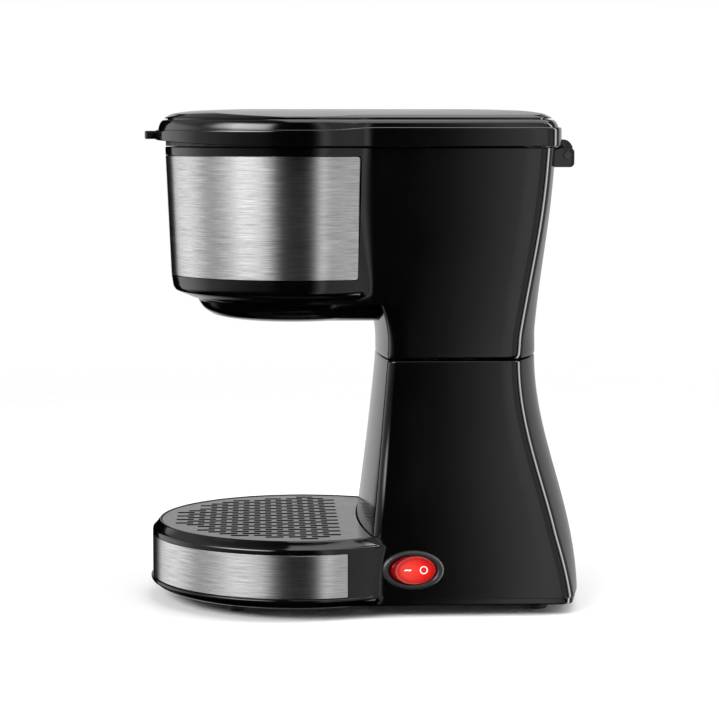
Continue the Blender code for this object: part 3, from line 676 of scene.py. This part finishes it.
moulded("gloss_black", (0.0007, 0.0007, 0.0008), (0.0014, 0.0014, 0.0015), (0.08, 0.13),
        2600, 0.000004, (0.012, 0.012, 0.0125))
moulded("satin_black", (0.012, 0.012, 0.0125), (0.02, 0.02, 0.021), (0.36, 0.5), 3800, 0.00003)
moulded("grey_tray", (0.012, 0.012, 0.0122), (0.018, 0.018, 0.0184), (0.14, 0.2),
        3000, 0.00001, (0.04, 0.04, 0.04), 1.0)
moulded("switch_grey", (0.012, 0.012, 0.013), (0.02, 0.02, 0.021), (0.3, 0.4), 5200, 0.00002)
brushed("brushed_steel", (0.30, 0.30, 0.30), (0.80, 0.80, 0.795), (0.28, 0.36))
brushed("plain_steel", (0.38, 0.38, 0.38), (0.6, 0.6, 0.6), (0.25, 0.42), False, 900)
brushed("dark_pin", (0.05, 0.05, 0.05), (0.09, 0.09, 0.09), (0.35, 0.5), False, 900, 0.2)
brushed("aluminium", (0.5, 0.51, 0.52), (0.72, 0.73, 0.74), (0.3, 0.45), False, 700)
soft("rubber", (0.012, 0.012, 0.012), (0.024, 0.024, 0.024), (0.65, 0.85), 1800, 0.00008)
soft("silicone", (0.66, 0.67, 0.65), (0.8, 0.8, 0.78), (0.35, 0.55), 700, 0.00004,
     Subsurface_Weight=0.15)
soft("white_plastic", (0.7, 0.69, 0.66), (0.8, 0.79, 0.76), (0.4, 0.55), 1500, 0.00003)
soft("wire_sleeve", (0.38, 0.02, 0.015), (0.6, 0.05, 0.03), (0.5, 0.7), 1300, 0.00012)
soft("white_mark", (0.86, 0.86, 0.85), (0.93, 0.93, 0.92), (0.35, 0.5), 2200, 0.00001)
woven("filter_mesh")
red_lens()


# Base and lower column.


def tray_outline(radius, clearance, sweep=150, back_steps=40):
    """The tray's round outline, hollowed at the back to follow the column's front."""
    half, face = half_width(DECK_Z), front(DECK_Z) - clearance
    bow = FRONT_BOW * (half / WAIST_HALF)
    big = (half**2 + bow**2) / (2 * bow)
    centre = face + big
    gap = centre - BULB_Y
    y = (radius**2 - big**2 + gap**2) / (2 * gap) + BULB_Y
    x = sqrt(radius**2 - (y - BULB_Y) ** 2)
    start = atan2(y - BULB_Y, x)
    back = asin(x / big)
    return (arc(0, BULB_Y, radius, -pi - start, start, sweep)
            + arc(0, centre, big, -pi / 2 + back, -pi / 2 - back, back_steps)[1:-1])


def base_shell():
    """The round base and the lower column, open at the top, with the tray's well in its front."""
    lip = [(BOTTOM_Z, SOLE_R, 1.2), (5.9, LIP_R - 4.9, 1.05), (6.6, LIP_R - 3.2, 0.9),
           (7.4, LIP_R - 2.0, 0.75), (8.1, LIP_R - 1.3, 0.6), (8.75, LIP_R - 0.8, 0.45),
           (8.95, LIP_R - 0.7, 0.4), (9.2, LIP_R - 0.45, 0.05), (10.0, LIP_R - 0.08, 0.0),
           (10.3, LIP_R, 0.0), (10.7, LIP_R, 0.0), (10.95, LIP_R - 0.1, 0.0),
           (LIP_TOP_Z, LIP_R - 0.35, 0.0), (LIP_TOP_Z + 0.02, BASE_R + 0.12, 0.0)]
    sections = [keyhole_section(z, radius, inset) for z, radius, inset in lip]
    sections += [keyhole_section(z, BASE_R) for z in between(LIP_TOP_Z + 0.3, RIDGE_Z - 1.5, 2.0)]
    ridge = [(RIDGE_Z - 1.2, BASE_R - 0.05), (RIDGE_Z - 0.7, BASE_R - 0.2),
             (RIDGE_Z - 0.3, BASE_R - 0.5), (RIDGE_Z, BASE_R - 0.9),
             (RIDGE_Z + 0.4, BASE_R - 1.3), (38.6, GRID_R + 2.3), (39.7, GRID_R + 1.45),
             (DECK_Z - 0.2, GRID_R + 1.1), (DECK_Z, GRID_R + 0.8)]
    sections += [keyhole_section(z, radius) for z, radius in ridge]
    sections += [column_section(z) for z in between(DECK_Z + 0.3, SEAM_Z - 1.6, 2.5)]
    top = ((1.3, 0.0), (1.1, 0.05), (0.85, 0.18), (0.6, 0.42), (0.45, 0.75), (0.4, 1.0))
    sections += [column_section(SEAM_Z - drop, inset) for drop, inset in top]
    hollow = loft("hollow", [
        keyhole_section(BOTTOM_Z - 1.0, SOLE_R, WALL + 1.2, COARSE),
        keyhole_section(BOTTOM_Z + 2.2, SOLE_R, WALL + 1.2, COARSE),
        keyhole_section(BOTTOM_Z + 3.4, BASE_R, WALL, COARSE),
        keyhole_section(DECK_Z - 6.5, BASE_R, WALL, COARSE),
        keyhole_section(DECK_Z - 3.0, GRID_R + 0.9, WALL, COARSE),
        *[column_section(z, WALL, COARSE) for z in (DECK_Z, 62, 84, 106, SEAM_Z + 1.0)],
    ])
    wall = prism("wall", tray_outline(GRID_R + 2.6, -2.0, 60, 16), TRAY_FLOOR_Z - 2.8, 60)
    hollow = carved(hollow, [wall])
    well = prism("well", tray_outline(GRID_R + 0.35, -0.1), TRAY_FLOOR_Z - 0.6, 60)
    recess = band_recess(LOWER_BAND_ANGLE, LOWER_BAND, (BASE_R, BASE_R), 0.6)
    mesh = carved(loft("maker_base", sections),
                  [hollow, well, recess, switch_opening(), cord_opening()])
    made = piece("maker_base", mesh, "machine", "gloss_black")
    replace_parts(made, "base_housing")


def switch_opening():
    mesh = prism("opening", ellipse(13.8, 8.5), -12, 12)
    mesh.transform(switch_axes())
    return mesh


def cord_opening():
    return rod("opening", (0, 95, 16), (0, 120, 16), 5.2)


def bands():
    head_radii = [head_radius(z) for z in UPPER_BAND]
    for name, node, angle, z, radii, corner in (
            ("band_head", "upper_steel_band", UPPER_BAND_ANGLE, UPPER_BAND, head_radii, 1.2),
            ("band_base", "lower_steel_band", LOWER_BAND_ANGLE, LOWER_BAND, (BASE_R, BASE_R), 0.4)):
        inner = [r - BAND_THICK for r in radii]
        mesh = band_strip(name, angle, z, inner, BAND_THICK, corner)
        made = piece(name, mesh, "machine", "brushed_steel")
        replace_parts(made, node)


# Drip tray and grid.


def slot_places():
    """The middles of the slots. Every other row is shifted by half a pitch."""
    made = []
    for column in range(16):
        y = SLOT_FIRST_Y - column * SLOT_PITCH_Y
        for row in range(-7, 7):
            x = row * SLOT_PITCH_X + SLOT_PITCH_X / 2 * (column % 2)
            rim = hypot(abs(x) + SLOT_WIDTH / 2, abs(y - BULB_Y) + SLOT_LENGTH / 2)
            back = front(DECK_Z) + 0.0017 * x * x - 10.6
            if rim < GRID_R - SLOT_RIM and y + SLOT_LENGTH / 2 < back:
                made.append((x, y))
    return made


def slot_cutters(grow, low, high):
    """All the slots as one mesh: upright prisms with rounded corners."""
    bm = bmesh.new()
    half_x = SLOT_WIDTH / 2 + grow - SLOT_CORNER
    half_y = SLOT_LENGTH / 2 + grow - SLOT_CORNER
    outline = []
    for sx, sy, start in ((1, 1, 0), (-1, 1, pi / 2), (-1, -1, pi), (1, -1, 1.5 * pi)):
        outline += arc(sx * half_x, sy * half_y, SLOT_CORNER, start, start + pi / 2, 4)
    for x, y in slot_places():
        add_solid(bm, [[(x + u, y + v, z) for u, v in outline] for z in (low, high)])
    return finished("slots", bm)


def tray():
    """The slotted grid, and under it the tray's cup."""
    outline = tray_outline(GRID_R - 0.3, 0.6)
    mesh = prism("tray_plate", outline, GRID_LOW, GRID_TOP)
    mesh = carved(mesh, [slot_cutters(0.25, GRID_LOW - 3, GRID_TOP + 3)])
    plate = piece("tray_plate", mesh, "grid", "grey_tray")
    rounded(plate, 0.1, 2)
    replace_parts(plate, "drip_grid")
    mesh = prism("tray_cup", outline, TRAY_FLOOR_Z, GRID_LOW - 0.4)
    inside = prism("inside", tray_outline(GRID_R - 2.1, 2.4), TRAY_FLOOR_Z + 1.8, 60)
    cup = piece("tray_cup", carved(mesh, [inside]), "tray", "gloss_black", "satin_black")
    rounded(cup, 0.3, 2)
    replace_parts(cup, "drip_tray")


# Head and upper column.


def head_shell():
    """The upper column and the head, hollow, with the band's pocket and the hinge's ears."""
    start = ((0.3, 0.6), (0.45, 0.3), (0.65, 0.1), (0.9, 0.0))
    sections = [column_section(SEAM_Z + up, inset) for up, inset in start]
    sections += [column_section(z) for z in between(SEAM_Z + 2.5, HEAD_FLOOR_Z - 0.6, 2.2)]
    under = smooth_values([(HEAD_FLOOR_Z, 52.8), (158.2, 56.2), (159.3, 58.9), (161.4, 64.0),
                           (162.6, 65.3), (164.1, 65.95), (167.0, 66.4)], 3)
    sections += [keyhole_section(z, radius) for z, radius in under]
    sections += [keyhole_section(z, head_radius(z))
                 for z in between(169.2, HOUSING_TOP_Z - 0.8, 2.6)]
    sections += [keyhole_section(HOUSING_TOP_Z - 0.35, head_radius(HOUSING_TOP_Z), 0.08),
                 keyhole_section(HOUSING_TOP_Z, head_radius(HOUSING_TOP_Z), 0.4)]
    hollow = loft("hollow", [
        *[column_section(z, WALL, COARSE) for z in (SEAM_Z - 2, 140, 151, HEAD_FLOOR_Z + 1.8)],
        keyhole_section(HEAD_FLOOR_Z + 2.4, 52.8, WALL, COARSE),
        keyhole_section(163.6, 64.0, WALL, COARSE),
        *[keyhole_section(z, head_radius(z), WALL, COARSE)
          for z in (170, 203, HOUSING_TOP_Z + 1.5)],
    ])
    low, high = UPPER_BAND
    slope = (HEAD_R_TOP - HEAD_R_LOW) / (HOUSING_TOP_Z - low)
    recess = band_recess(UPPER_BAND_ANGLE, UPPER_BAND,
                         (head_radius(low), head_radius(high) + BAND_GAP * slope), 1.7)
    floor_hole = rod("hole", (0, DISH_Y, 150), (0, DISH_Y, 160), 40)
    ears = [hinge_ear(20, 26), hinge_ear(-26, -20)]
    mesh = carved(loft("maker_head", sections), [hollow, recess, floor_hole, pin_hole()], ears)
    made = piece("maker_head", mesh, "machine", "gloss_black")
    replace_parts(made, "upper_housing")


def pin_hole():
    return rod("hole", (-40, HINGE_Y, HINGE_Z), (40, HINGE_Y, HINGE_Z), PIN_R + PIN_PLAY)


def hinge_ear(low, high):
    """An ear for the pin, softened round its outline."""
    root, back, top, foot, round_r = 96.0, 109.5, 235.2, 225.4, 2.2
    sections = []
    for x, trim in ((low, 0.5), (low + 0.15, 0.15), (low + 0.5, 0), (high - 0.5, 0),
                    (high - 0.15, 0.15), (high, 0.5)):
        corner = round_r - trim
        outline = [(root, foot + trim),
                   *arc(back - round_r, foot + round_r, corner, -pi / 2, 0, 8),
                   *arc(back - round_r, top - round_r, corner, 0, pi / 2, 8), (root, top - trim)]
        sections.append([(x, y, z) for y, z in outline])
    return loft("ear", sections)


def funnel_section(z, radius, steps=70):
    """Round at the front, and straight from its widest part back into the column."""
    back_y = 16.0
    made = arc(0, DISH_Y, radius, -pi / 2, radians(34), steps)
    return at_height(mirrored([*made, (made[-1][0], back_y), (0, back_y)]), z)


def dish():
    """The dish under the head, with a rounded foot and its outlet."""
    low, high = millimetres("drip_funnel")
    profile = smooth_values([(low[2], 21.0), (146.6, 30.5), (147.3, 35.5), (148.4, 40.5),
                             (149.5, 43.2), (152.3, 47.2), (high[2], 49.8)], 4)
    body = loft("dish", [funnel_section(z, r) for z, r in profile])
    inside = loft("inside", [funnel_section(z + DISH_WALL, r - DISH_WALL, 30)
                             for z, r in profile[::4]])
    heights = between(140, 158, 2)
    clearance = loft("clearance", [column_section(z, -0.4) for z in heights])
    rear_wall = loft("rear_wall", [column_section(z, -2.4, COARSE) for z in heights])
    outlet = rod("outlet", (0, DISH_Y, 140), (0, DISH_Y, 152), 3.2)
    mesh = carved(body, [clearance, carved(inside, [rear_wall]), outlet])
    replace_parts(piece("dish", mesh, "machine", "gloss_black"), "drip_funnel")


# Lid.


def lid():
    """The lid: a lip with a waved ridge, a sloped band above it, a fine groove and the crowned top.

    Each row is a height, how far in from the outline, and the shares of the lift and the wave.
    """
    low = [(LID_BOTTOM_Z, 0.35, 1.0, 0.0), (LID_BOTTOM_Z + 0.3, 0.08, 0.97, 0.0),
           (237.2, 0.0, 0.9, 0.0), (239.4, 0.0, 0.5, 0.1), (241.6, 0.0, 0.2, 0.5),
           (243.6, 0.0, 0.0, 0.9), (244.7, 0.02, 0.0, 1.0), (245.2, 0.12, 0.0, 1.0),
           (245.6, 0.35, 0.0, 1.0), (245.8, 0.7, 0.0, 1.0), (245.75, 1.0, 0.0, 1.0),
           (245.45, 1.2, 0.0, 1.0), (245.5, 1.45, 0.0, 1.0), (246.1, 1.6, 0.0, 0.9),
           (247.0, 1.9, 0.0, 0.55), (248.2, 2.5, 0.0, 0.2), (249.1, 3.3, 0.0, 0.0),
           (249.5, 3.9, 0.0, 0.0), (249.65, 4.4, 0.0, 0.0), (249.65, 6.4, 0.0, 0.0),
           (250.25, 6.4, 0.0, 0.0), (250.3, 4.95, 0.0, 0.0), (250.5, 4.85, 0.0, 0.0),
           (250.85, 5.1, 0.0, 0.0)]
    sections = [lid_section(z, inset, LID_LIFT * lift, wave) for z, inset, lift, wave in low]
    crown = smooth_values([(251.1, 5.5), (251.5, 6.2), (252.1, 7.4), (252.8, 9.0), (253.7, 14.0),
                           (254.3, 20.0), (254.6, 27.0), (255.0, 38.0), (CROWN_Z, 50.0)], 4)
    sections += [[(x, y, min(z, cross_crown(x))) for x, y, z in lid_section(h, inset)]
                 for h, inset in crown]
    hollow = loft("hollow", [lid_section(z, inset, steps=COARSE) for z, inset in
                             ((230, 2.4), (244.5, 2.4), (248.6, 8.2))])
    tab = loft("tab", [tab_section(z, grow) for z, grow in
                       ((239.8, 0.93), (240.05, 0.97), (240.5, 1.0), (243.3, 1.0), (243.75, 0.97),
                        (244.0, 0.93))])
    vent = rod("vent", (0, VENT_Y, 240), (0, VENT_Y, 260), VENT_R, 64)
    recess = prism("recess", finger_recess(), RECESS_Z, 260)
    mesh = carved(crowned(loft("lid_top", sections)), [hollow, vent, recess, pin_hole()],
                  [tab, knuckle()])
    made = piece("lid_top", mesh, "lid", "gloss_black")
    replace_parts(made, "lid_shell")


def crowned(mesh):
    """The same mesh with its flat top face cut lengthways, so the strips follow the crown."""
    bm = bmesh.new()
    bm.from_mesh(mesh)
    top = [f for f in bm.faces if len(f.verts) > 30 and f.normal.z > 0.5]
    for x in range(-31, 32, 2):
        edges = {e for f in top for e in f.edges}
        verts = {v for e in edges for v in e.verts}
        cut = bmesh.ops.bisect_plane(bm, geom=[*top, *edges, *verts], plane_co=(x * MM, 0, 0),
                                     plane_no=(1, 0, 0))
        top = [f for f in cut["geom"] if isinstance(f, bmesh.types.BMFace)]
    return finished(mesh.name, bm)


def cross_crown(x):
    """The lid's height where it curves gently down from its middle line to both sides."""
    return CROWN_Z - CROWN_DROP * (abs(x) / CROWN_R) ** 1.9


def tab_section(z, grow):
    root_y = -104
    shape = [(-13, root_y), (-12.6, -108.5), (-11.9, -110.4), (-10.6, -111.3), (-8.5, TAB_TIP_Y)]
    return [(x * grow, root_y + (y - root_y) * grow, z)
            for x, y in [*shape, *[(-x, y) for x, y in reversed(shape)]]]


def finger_recess():
    """A long shallow recess on the lid's front half."""
    half, end = 3.2, 11.5
    return (arc(0, RECESS_Y + end, half, 0, pi, 20)
            + arc(0, RECESS_Y - end, half, pi, 2 * pi, 20))


def knuckle():
    """The lid's arm on the pin, between the two ears."""
    barrel = 3.35
    sections = []
    for x, trim in ((-19.4, 0.45), (-19.25, 0.15), (-18.9, 0), (18.9, 0), (19.25, 0.15),
                    (19.4, 0.45)):
        outline = [*arc(HINGE_Y, HINGE_Z, barrel - trim, -pi, 0, 24),
                   (HINGE_Y + barrel - trim, 236.2),
                   *arc(HINGE_Y + barrel - 5.0, 234.6, 5.0 - trim, 0.35, pi / 2, 10),
                   (HINGE_Y - barrel + trim, 239.6 - trim)]
        sections.append([(x, y, z) for y, z in outline])
    return loft("knuckle", sections)


# Switch. Its own axes are u, along the machine, v, up the slope of the side, and n, outwards.


def switch_axes():
    c, s = cos(SWITCH_TILT), sin(SWITCH_TILT)
    turn = Matrix(((0, -s, c, 0), (1, 0, 0, 0), (0, c, s, 0), (0, 0, 0, 1)))
    return Matrix.Translation(Vector((half_width(SWITCH_Z), SWITCH_Y, SWITCH_Z)) * MM) @ turn


def ellipse(across, up, steps=96):
    return [(across * cos(2 * pi * i / steps), up * sin(2 * pi * i / steps)) for i in range(steps)]


def ring_of(radius):
    """A circle round the middle of the rocker's off mark."""
    return [(5.2 + u, v) for u, v in ellipse(radius, radius, 48)]


def switch():
    """The bezel as one ring with a domed face, and the rocker with its two marks."""
    face = [(15.7, 9.9, 0.5), (15.65, 9.85, 0.9), (15.4, 9.6, 1.4), (14.9, 9.2, 1.85),
            (14.2, 8.7, 2.15), (13.5, 8.2, 2.2), (12.9, 7.85, 2.05), (12.45, 7.65, 1.7),
            (12.2, 7.53, 1.2), (12.1, 7.5, 0.5), (12.1, 7.5, -5.0), (13.4, 8.1, -5.0),
            (13.4, 8.1, 0.5)]
    mesh = closed_loft("switch_ring", [at_height(ellipse(across, up, 128), n)
                                       for across, up, n in face])
    mesh.transform(switch_axes())
    ring = piece("switch_ring", mesh, "machine", "satin_black", "switch_grey")
    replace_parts(ring, "switch_bezel")
    place = switch_axes() @ Matrix.Rotation(ROCKER_REST, 4, "Y")
    levels = [(0.0, -2.6), (0.0, 0.9), (0.12, 1.25), (0.35, 1.45), (0.6, 1.5), (0.95, 1.42),
              (1.5, ROCKER_FACE)]
    sections = [[(a, b, n + (ROCKER_RISE * abs(a) if n > 0 else 0))
                 for a, b in ellipse(11.3 - trim, 7.1 - trim)] for trim, n in levels]
    sections += [on_face([(a * k, b * k) for a, b in ellipse(9.8, 5.6)])
                 for k in (0.8, 0.55, 0.3, 0.08)]
    mesh = loft("rocker", sections)
    mesh.transform(place)
    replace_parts(piece("rocker", mesh, "rocker", "red_lens"), "switch_rocker")
    dash = [(-4.65, -0.32), (-1.15, -0.32), (-1.15, 0.32), (-4.65, 0.32)]
    mark(loft("mark_on", [on_face(dash, MARK_SUNK), on_face(dash, MARK_PROUD)]), place)
    outer, inner = ring_of(2.0), ring_of(1.5)
    mark(closed_loft("mark_off", [on_face(outer, MARK_SUNK), on_face(outer, MARK_PROUD),
                                  on_face(inner, MARK_PROUD), on_face(inner, MARK_SUNK)]), place)


def on_face(points, out=0.0):
    """(u, v) points laid on the rocker's face, which rises towards both ends."""
    return [(u, v, ROCKER_FACE + ROCKER_RISE * abs(u) + out) for u, v in points]


def mark(mesh, place):
    """A thin printed mark on the rocker's face."""
    mesh.transform(place)
    piece(mesh.name, mesh, "rocker", "white_plastic", "white_mark")


# The CAD nodes that stay: their finishes, and the edge radii in millimetres of those that show.

FEET = [f"foot_{i}" for i in range(1, 5)]
SCREWS = [f"base_screw_{i}" for i in range(1, 5)]
KEPT = {
    "satin_black": ["base_plate", "water_tank", "filter_basket", "lid_liner", "shower_head",
                    "steam_vent_cap", "switch_body"],
    "plain_steel": [*SCREWS, "heating_element", "heater_bracket"],
    "dark_pin": ["hinge_pin"],
    "aluminium": ["water_tube"],
    "rubber": [*FEET, "cord_grommet"],
    "silicone": ["inlet_hose", "riser_hose", "riser_seal"],
    "white_plastic": ["check_valve", "thermostat", "terminal_block"],
    "wire_sleeve": ["wire_live", "wire_heater", "wire_neutral", "thermal_fuse"],
    "filter_mesh": ["mesh_filter"],
}
ROUNDED = {"steam_vent_cap": 0.4, "filter_basket": 0.4, "hinge_pin": 0.3, "cord_grommet": 0.3,
           "lid_liner": 0.3, **dict.fromkeys(FEET, 0.4)}


def keep_nodes():
    """Gives the kept CAD nodes their finishes and soft edges."""
    for looks, names in KEPT.items():
        for name in names:
            node = NODES[name]
            node.data.materials.clear()
            node.data.materials.append(LOOKS[looks])
            node.data.shade_smooth()
            node.data.set_sharp_from_angle(angle=radians(32))
            if name in ROUNDED:
                rounded(node, ROUNDED[name], 3)


# Studio: floor, soft lights, cards that shape the reflections, and the camera.


def aimed(obj, target):
    """Turns a lamp or the camera to face the target."""
    obj.rotation_euler = (Vector(target) - obj.location).to_track_quat("-Z", "Y").to_euler()


def emission_card(name, corner, across, up, strength, stops):
    """A glowing card, unseen by the camera and with no shadow. The stops run across it."""
    mesh = bpy.data.meshes.new(name)
    a, u, v = Vector(corner), Vector(across), Vector(up)
    mesh.from_pydata([a, a + u, a + u + v, a + v], [], [(0, 1, 2, 3)])
    layer = mesh.uv_layers.new(name="card")
    for loop, place in zip(layer.data, ((0, 0), (1, 0), (1, 1), (0, 1))):
        loop.uv = place
    looks = bpy.data.materials.new(name)
    looks.use_nodes = True
    tree = looks.node_tree
    tree.nodes.clear()
    split = tree.nodes.new("ShaderNodeSeparateXYZ")
    tree.links.new(tree.nodes.new("ShaderNodeTexCoord").outputs["UV"], split.inputs[0])
    glow = tree.nodes.new("ShaderNodeEmission")
    glow.inputs["Strength"].default_value = strength
    tree.links.new(grey_ramp(tree, split.outputs["X"], stops), glow.inputs["Color"])
    output = tree.nodes.new("ShaderNodeOutputMaterial")
    tree.links.new(glow.outputs[0], output.inputs["Surface"])
    mesh.materials.append(looks)
    made = bpy.data.objects.new(name, mesh)
    bpy.context.scene.collection.objects.link(made)
    made.visible_camera = False
    made.visible_shadow = False
    made.visible_diffuse = strength > 0.0


def soft_light(name, place, target, size, power):
    lamp = bpy.data.lights.new(name, "AREA")
    lamp.shape = "RECTANGLE"
    lamp.size, lamp.size_y = size
    lamp.energy = power
    made = bpy.data.objects.new(name, lamp)
    made.location = place
    aimed(made, target)
    bpy.context.scene.collection.objects.link(made)


# What the machine reflects: the room's brightness by the direction's angle from +X in degrees,
# with the front at -90. Above it is a softbox that mostly the brushed steel picks up.
ROOM = [(-180, 0.66), (-158, 0.7), (-146, 0.75), (-132, 1.1), (-114, 1.35), (-100, 1.05),
        (-90, 0.65), (-78, 0.55), (-62, 0.36), (-46, 0.21), (-30, 0.14), (-19, 0.01), (66, 0.01),
        (84, 0.3), (150, 0.42), (168, 0.46), (177, 0.66), (180, 0.66)]
ROOM_STRENGTH = 2.0
ROOM_ABOVE = 0.8
SOFTBOX = [(-96, 0.0), (-84, 0.1), (-72, 0.6), (-60, 1.0), (-44, 0.85), (-35, 0.7), (-27, 0.5),
           (-22, 0.0)]
SOFTBOX_STRENGTH = 12.0


def by_angle(tree, turn, values, brightest):
    """A ramp over the angle, from (degrees, brightness) pairs."""
    return grey_ramp(tree, turn, [((angle + 180) / 360, value / brightest)
                                  for angle, value in values])


def world():
    """A pale backdrop for the camera, and a shaped room for what the machine reflects."""
    made = bpy.data.worlds.new("studio")
    bpy.context.scene.world = made
    made.use_nodes = True
    tree = made.node_tree
    tree.nodes.clear()

    def math(operation, *values):
        return calculated(tree, operation, values)

    def background(colour, strength):
        node = tree.nodes.new("ShaderNodeBackground")
        tree.links.new(colour, node.inputs["Color"])
        tree.links.new(strength, node.inputs["Strength"])
        return node.outputs[0]

    way = tree.nodes.new("ShaderNodeSeparateXYZ")
    tree.links.new(tree.nodes.new("ShaderNodeTexCoord").outputs["Generated"], way.inputs[0])
    height = way.outputs["Z"]
    angle = math("ARCTAN2", way.outputs["Y"], way.outputs["X"])
    turn = math("ADD", math("DIVIDE", angle, 2 * pi), 0.5)

    above = eased(tree, height, 0.3, 0.45)
    dimming = math("MULTIPLY", above, ROOM_STRENGTH - ROOM_ABOVE)
    strength = math("MULTIPLY", math("SUBTRACT", ROOM_STRENGTH, dimming),
                    eased(tree, height, -0.6, -0.25))
    room = background(by_angle(tree, turn, ROOM, 2.0), strength)

    box = math("MULTIPLY", above, eased(tree, height, 0.8, 0.62))
    softbox = background(by_angle(tree, turn, SOFTBOX, 1.0),
                         math("MULTIPLY", box, SOFTBOX_STRENGTH))

    reflected = tree.nodes.new("ShaderNodeAddShader")
    tree.links.new(room, reflected.inputs[0])
    tree.links.new(softbox, reflected.inputs[1])
    backdrop = tree.nodes.new("ShaderNodeBackground")
    backdrop.inputs["Color"].default_value = (1, 1, 1, 1)
    mix = tree.nodes.new("ShaderNodeMixShader")
    tree.links.new(tree.nodes.new("ShaderNodeLightPath").outputs["Is Camera Ray"], mix.inputs[0])
    tree.links.new(reflected.outputs[0], mix.inputs[1])
    tree.links.new(backdrop.outputs[0], mix.inputs[2])
    output = tree.nodes.new("ShaderNodeOutputWorld")
    tree.links.new(mix.outputs[0], output.inputs["Surface"])


def floor():
    """A round pale floor that fades into the backdrop."""
    bm = bmesh.new()
    bmesh.ops.create_circle(bm, cap_ends=True, segments=96, radius=2.4)
    mesh = bpy.data.meshes.new("floor")
    bm.to_mesh(mesh)
    bm.free()
    looks = bpy.data.materials.new("floor")
    looks.use_nodes = True
    tree = looks.node_tree
    shader = tree.nodes["Principled BSDF"]
    shader.inputs["Base Color"].default_value = (0.93, 0.93, 0.93, 1)
    shader.inputs["Roughness"].default_value = 0.75
    shader.inputs["Specular IOR Level"].default_value = 0.15
    length = tree.nodes.new("ShaderNodeVectorMath")
    length.operation = "LENGTH"
    tree.links.new(tree.nodes.new("ShaderNodeTexCoord").outputs["Object"], length.inputs[0])
    fade = eased(tree, length.outputs["Value"], 0.22, 1.3, "SMOOTHERSTEP")
    mix = tree.nodes.new("ShaderNodeMixShader")
    tree.links.new(fade, mix.inputs[0])
    tree.links.new(shader.outputs[0], mix.inputs[1])
    tree.links.new(tree.nodes.new("ShaderNodeBsdfTransparent").outputs[0], mix.inputs[2])
    tree.links.new(mix.outputs[0], tree.nodes["Material Output"].inputs["Surface"])
    mesh.materials.append(looks)
    made = bpy.data.objects.new("floor", mesh)
    made.visible_glossy = False
    bpy.context.scene.collection.objects.link(made)


def studio():
    """The room, the floor and two lamps, with three cards for the reflections.

    card_right shades the column's side, card_rear draws the thin line down its rear corner, and
    card_dark is black and keeps the left edge of the steel dark.
    """
    world()
    floor()
    emission_card("card_right", (0.6, 0.055, -0.5), (0, 0.9, 0), (0, 0, 1.6), 1.3,
                  [(0.0, 0.0), (0.022, 0.045), (0.041, 0.11), (0.058, 0.23), (0.075, 0.38),
                   (0.092, 0.58), (0.11, 0.8), (0.15, 0.8), (0.2, 0.46), (0.5, 0.5), (1.0, 0.58)])
    emission_card("card_rear", (0.26, 0.6, -0.9), (-0.3, 0, 0), (0, 0, 1.9), 12.0,
                  [(0.0, 0.03), (0.3, 0.3), (0.52, 1.0), (0.68, 0.9), (0.85, 0.15), (1.0, 0.0)])
    emission_card("card_dark", (-0.3, -0.15, -0.2), (0, -0.2, 0), (0, 0, 0.6), 0.0,
                  [(0.0, 0.0), (1.0, 0.0)])
    soft_light("overhead", (-0.1, 0.3, 1.3), (-0.1, 0.3, 0.1), (1.4, 0.95), 11)
    soft_light("fill", (0.9, -0.9, 0.9), (0, 0, 0.1), (0.7, 0.7), 3)


def camera():
    """A long lens at the lid's height, looking a little down at the switch's side."""
    lens = bpy.data.cameras.new("camera")
    lens.lens = 115.16
    lens.sensor_width = 36
    lens.clip_start = 0.05
    made = bpy.data.objects.new("camera", lens)
    made.location = (1.2064, -0.0526 + SHIFT_Y * MM, 0.2454)
    aimed(made, (0, SHIFT_Y * MM, 0.1239))
    bpy.context.scene.collection.objects.link(made)
    bpy.context.scene.camera = made


base_shell()
head_shell()
bands()
dish()
tray()
lid()
switch()
keep_nodes()
studio()
camera()
bpy.context.scene.view_settings.view_transform = "Standard"

bpy.context.view_layer.update()
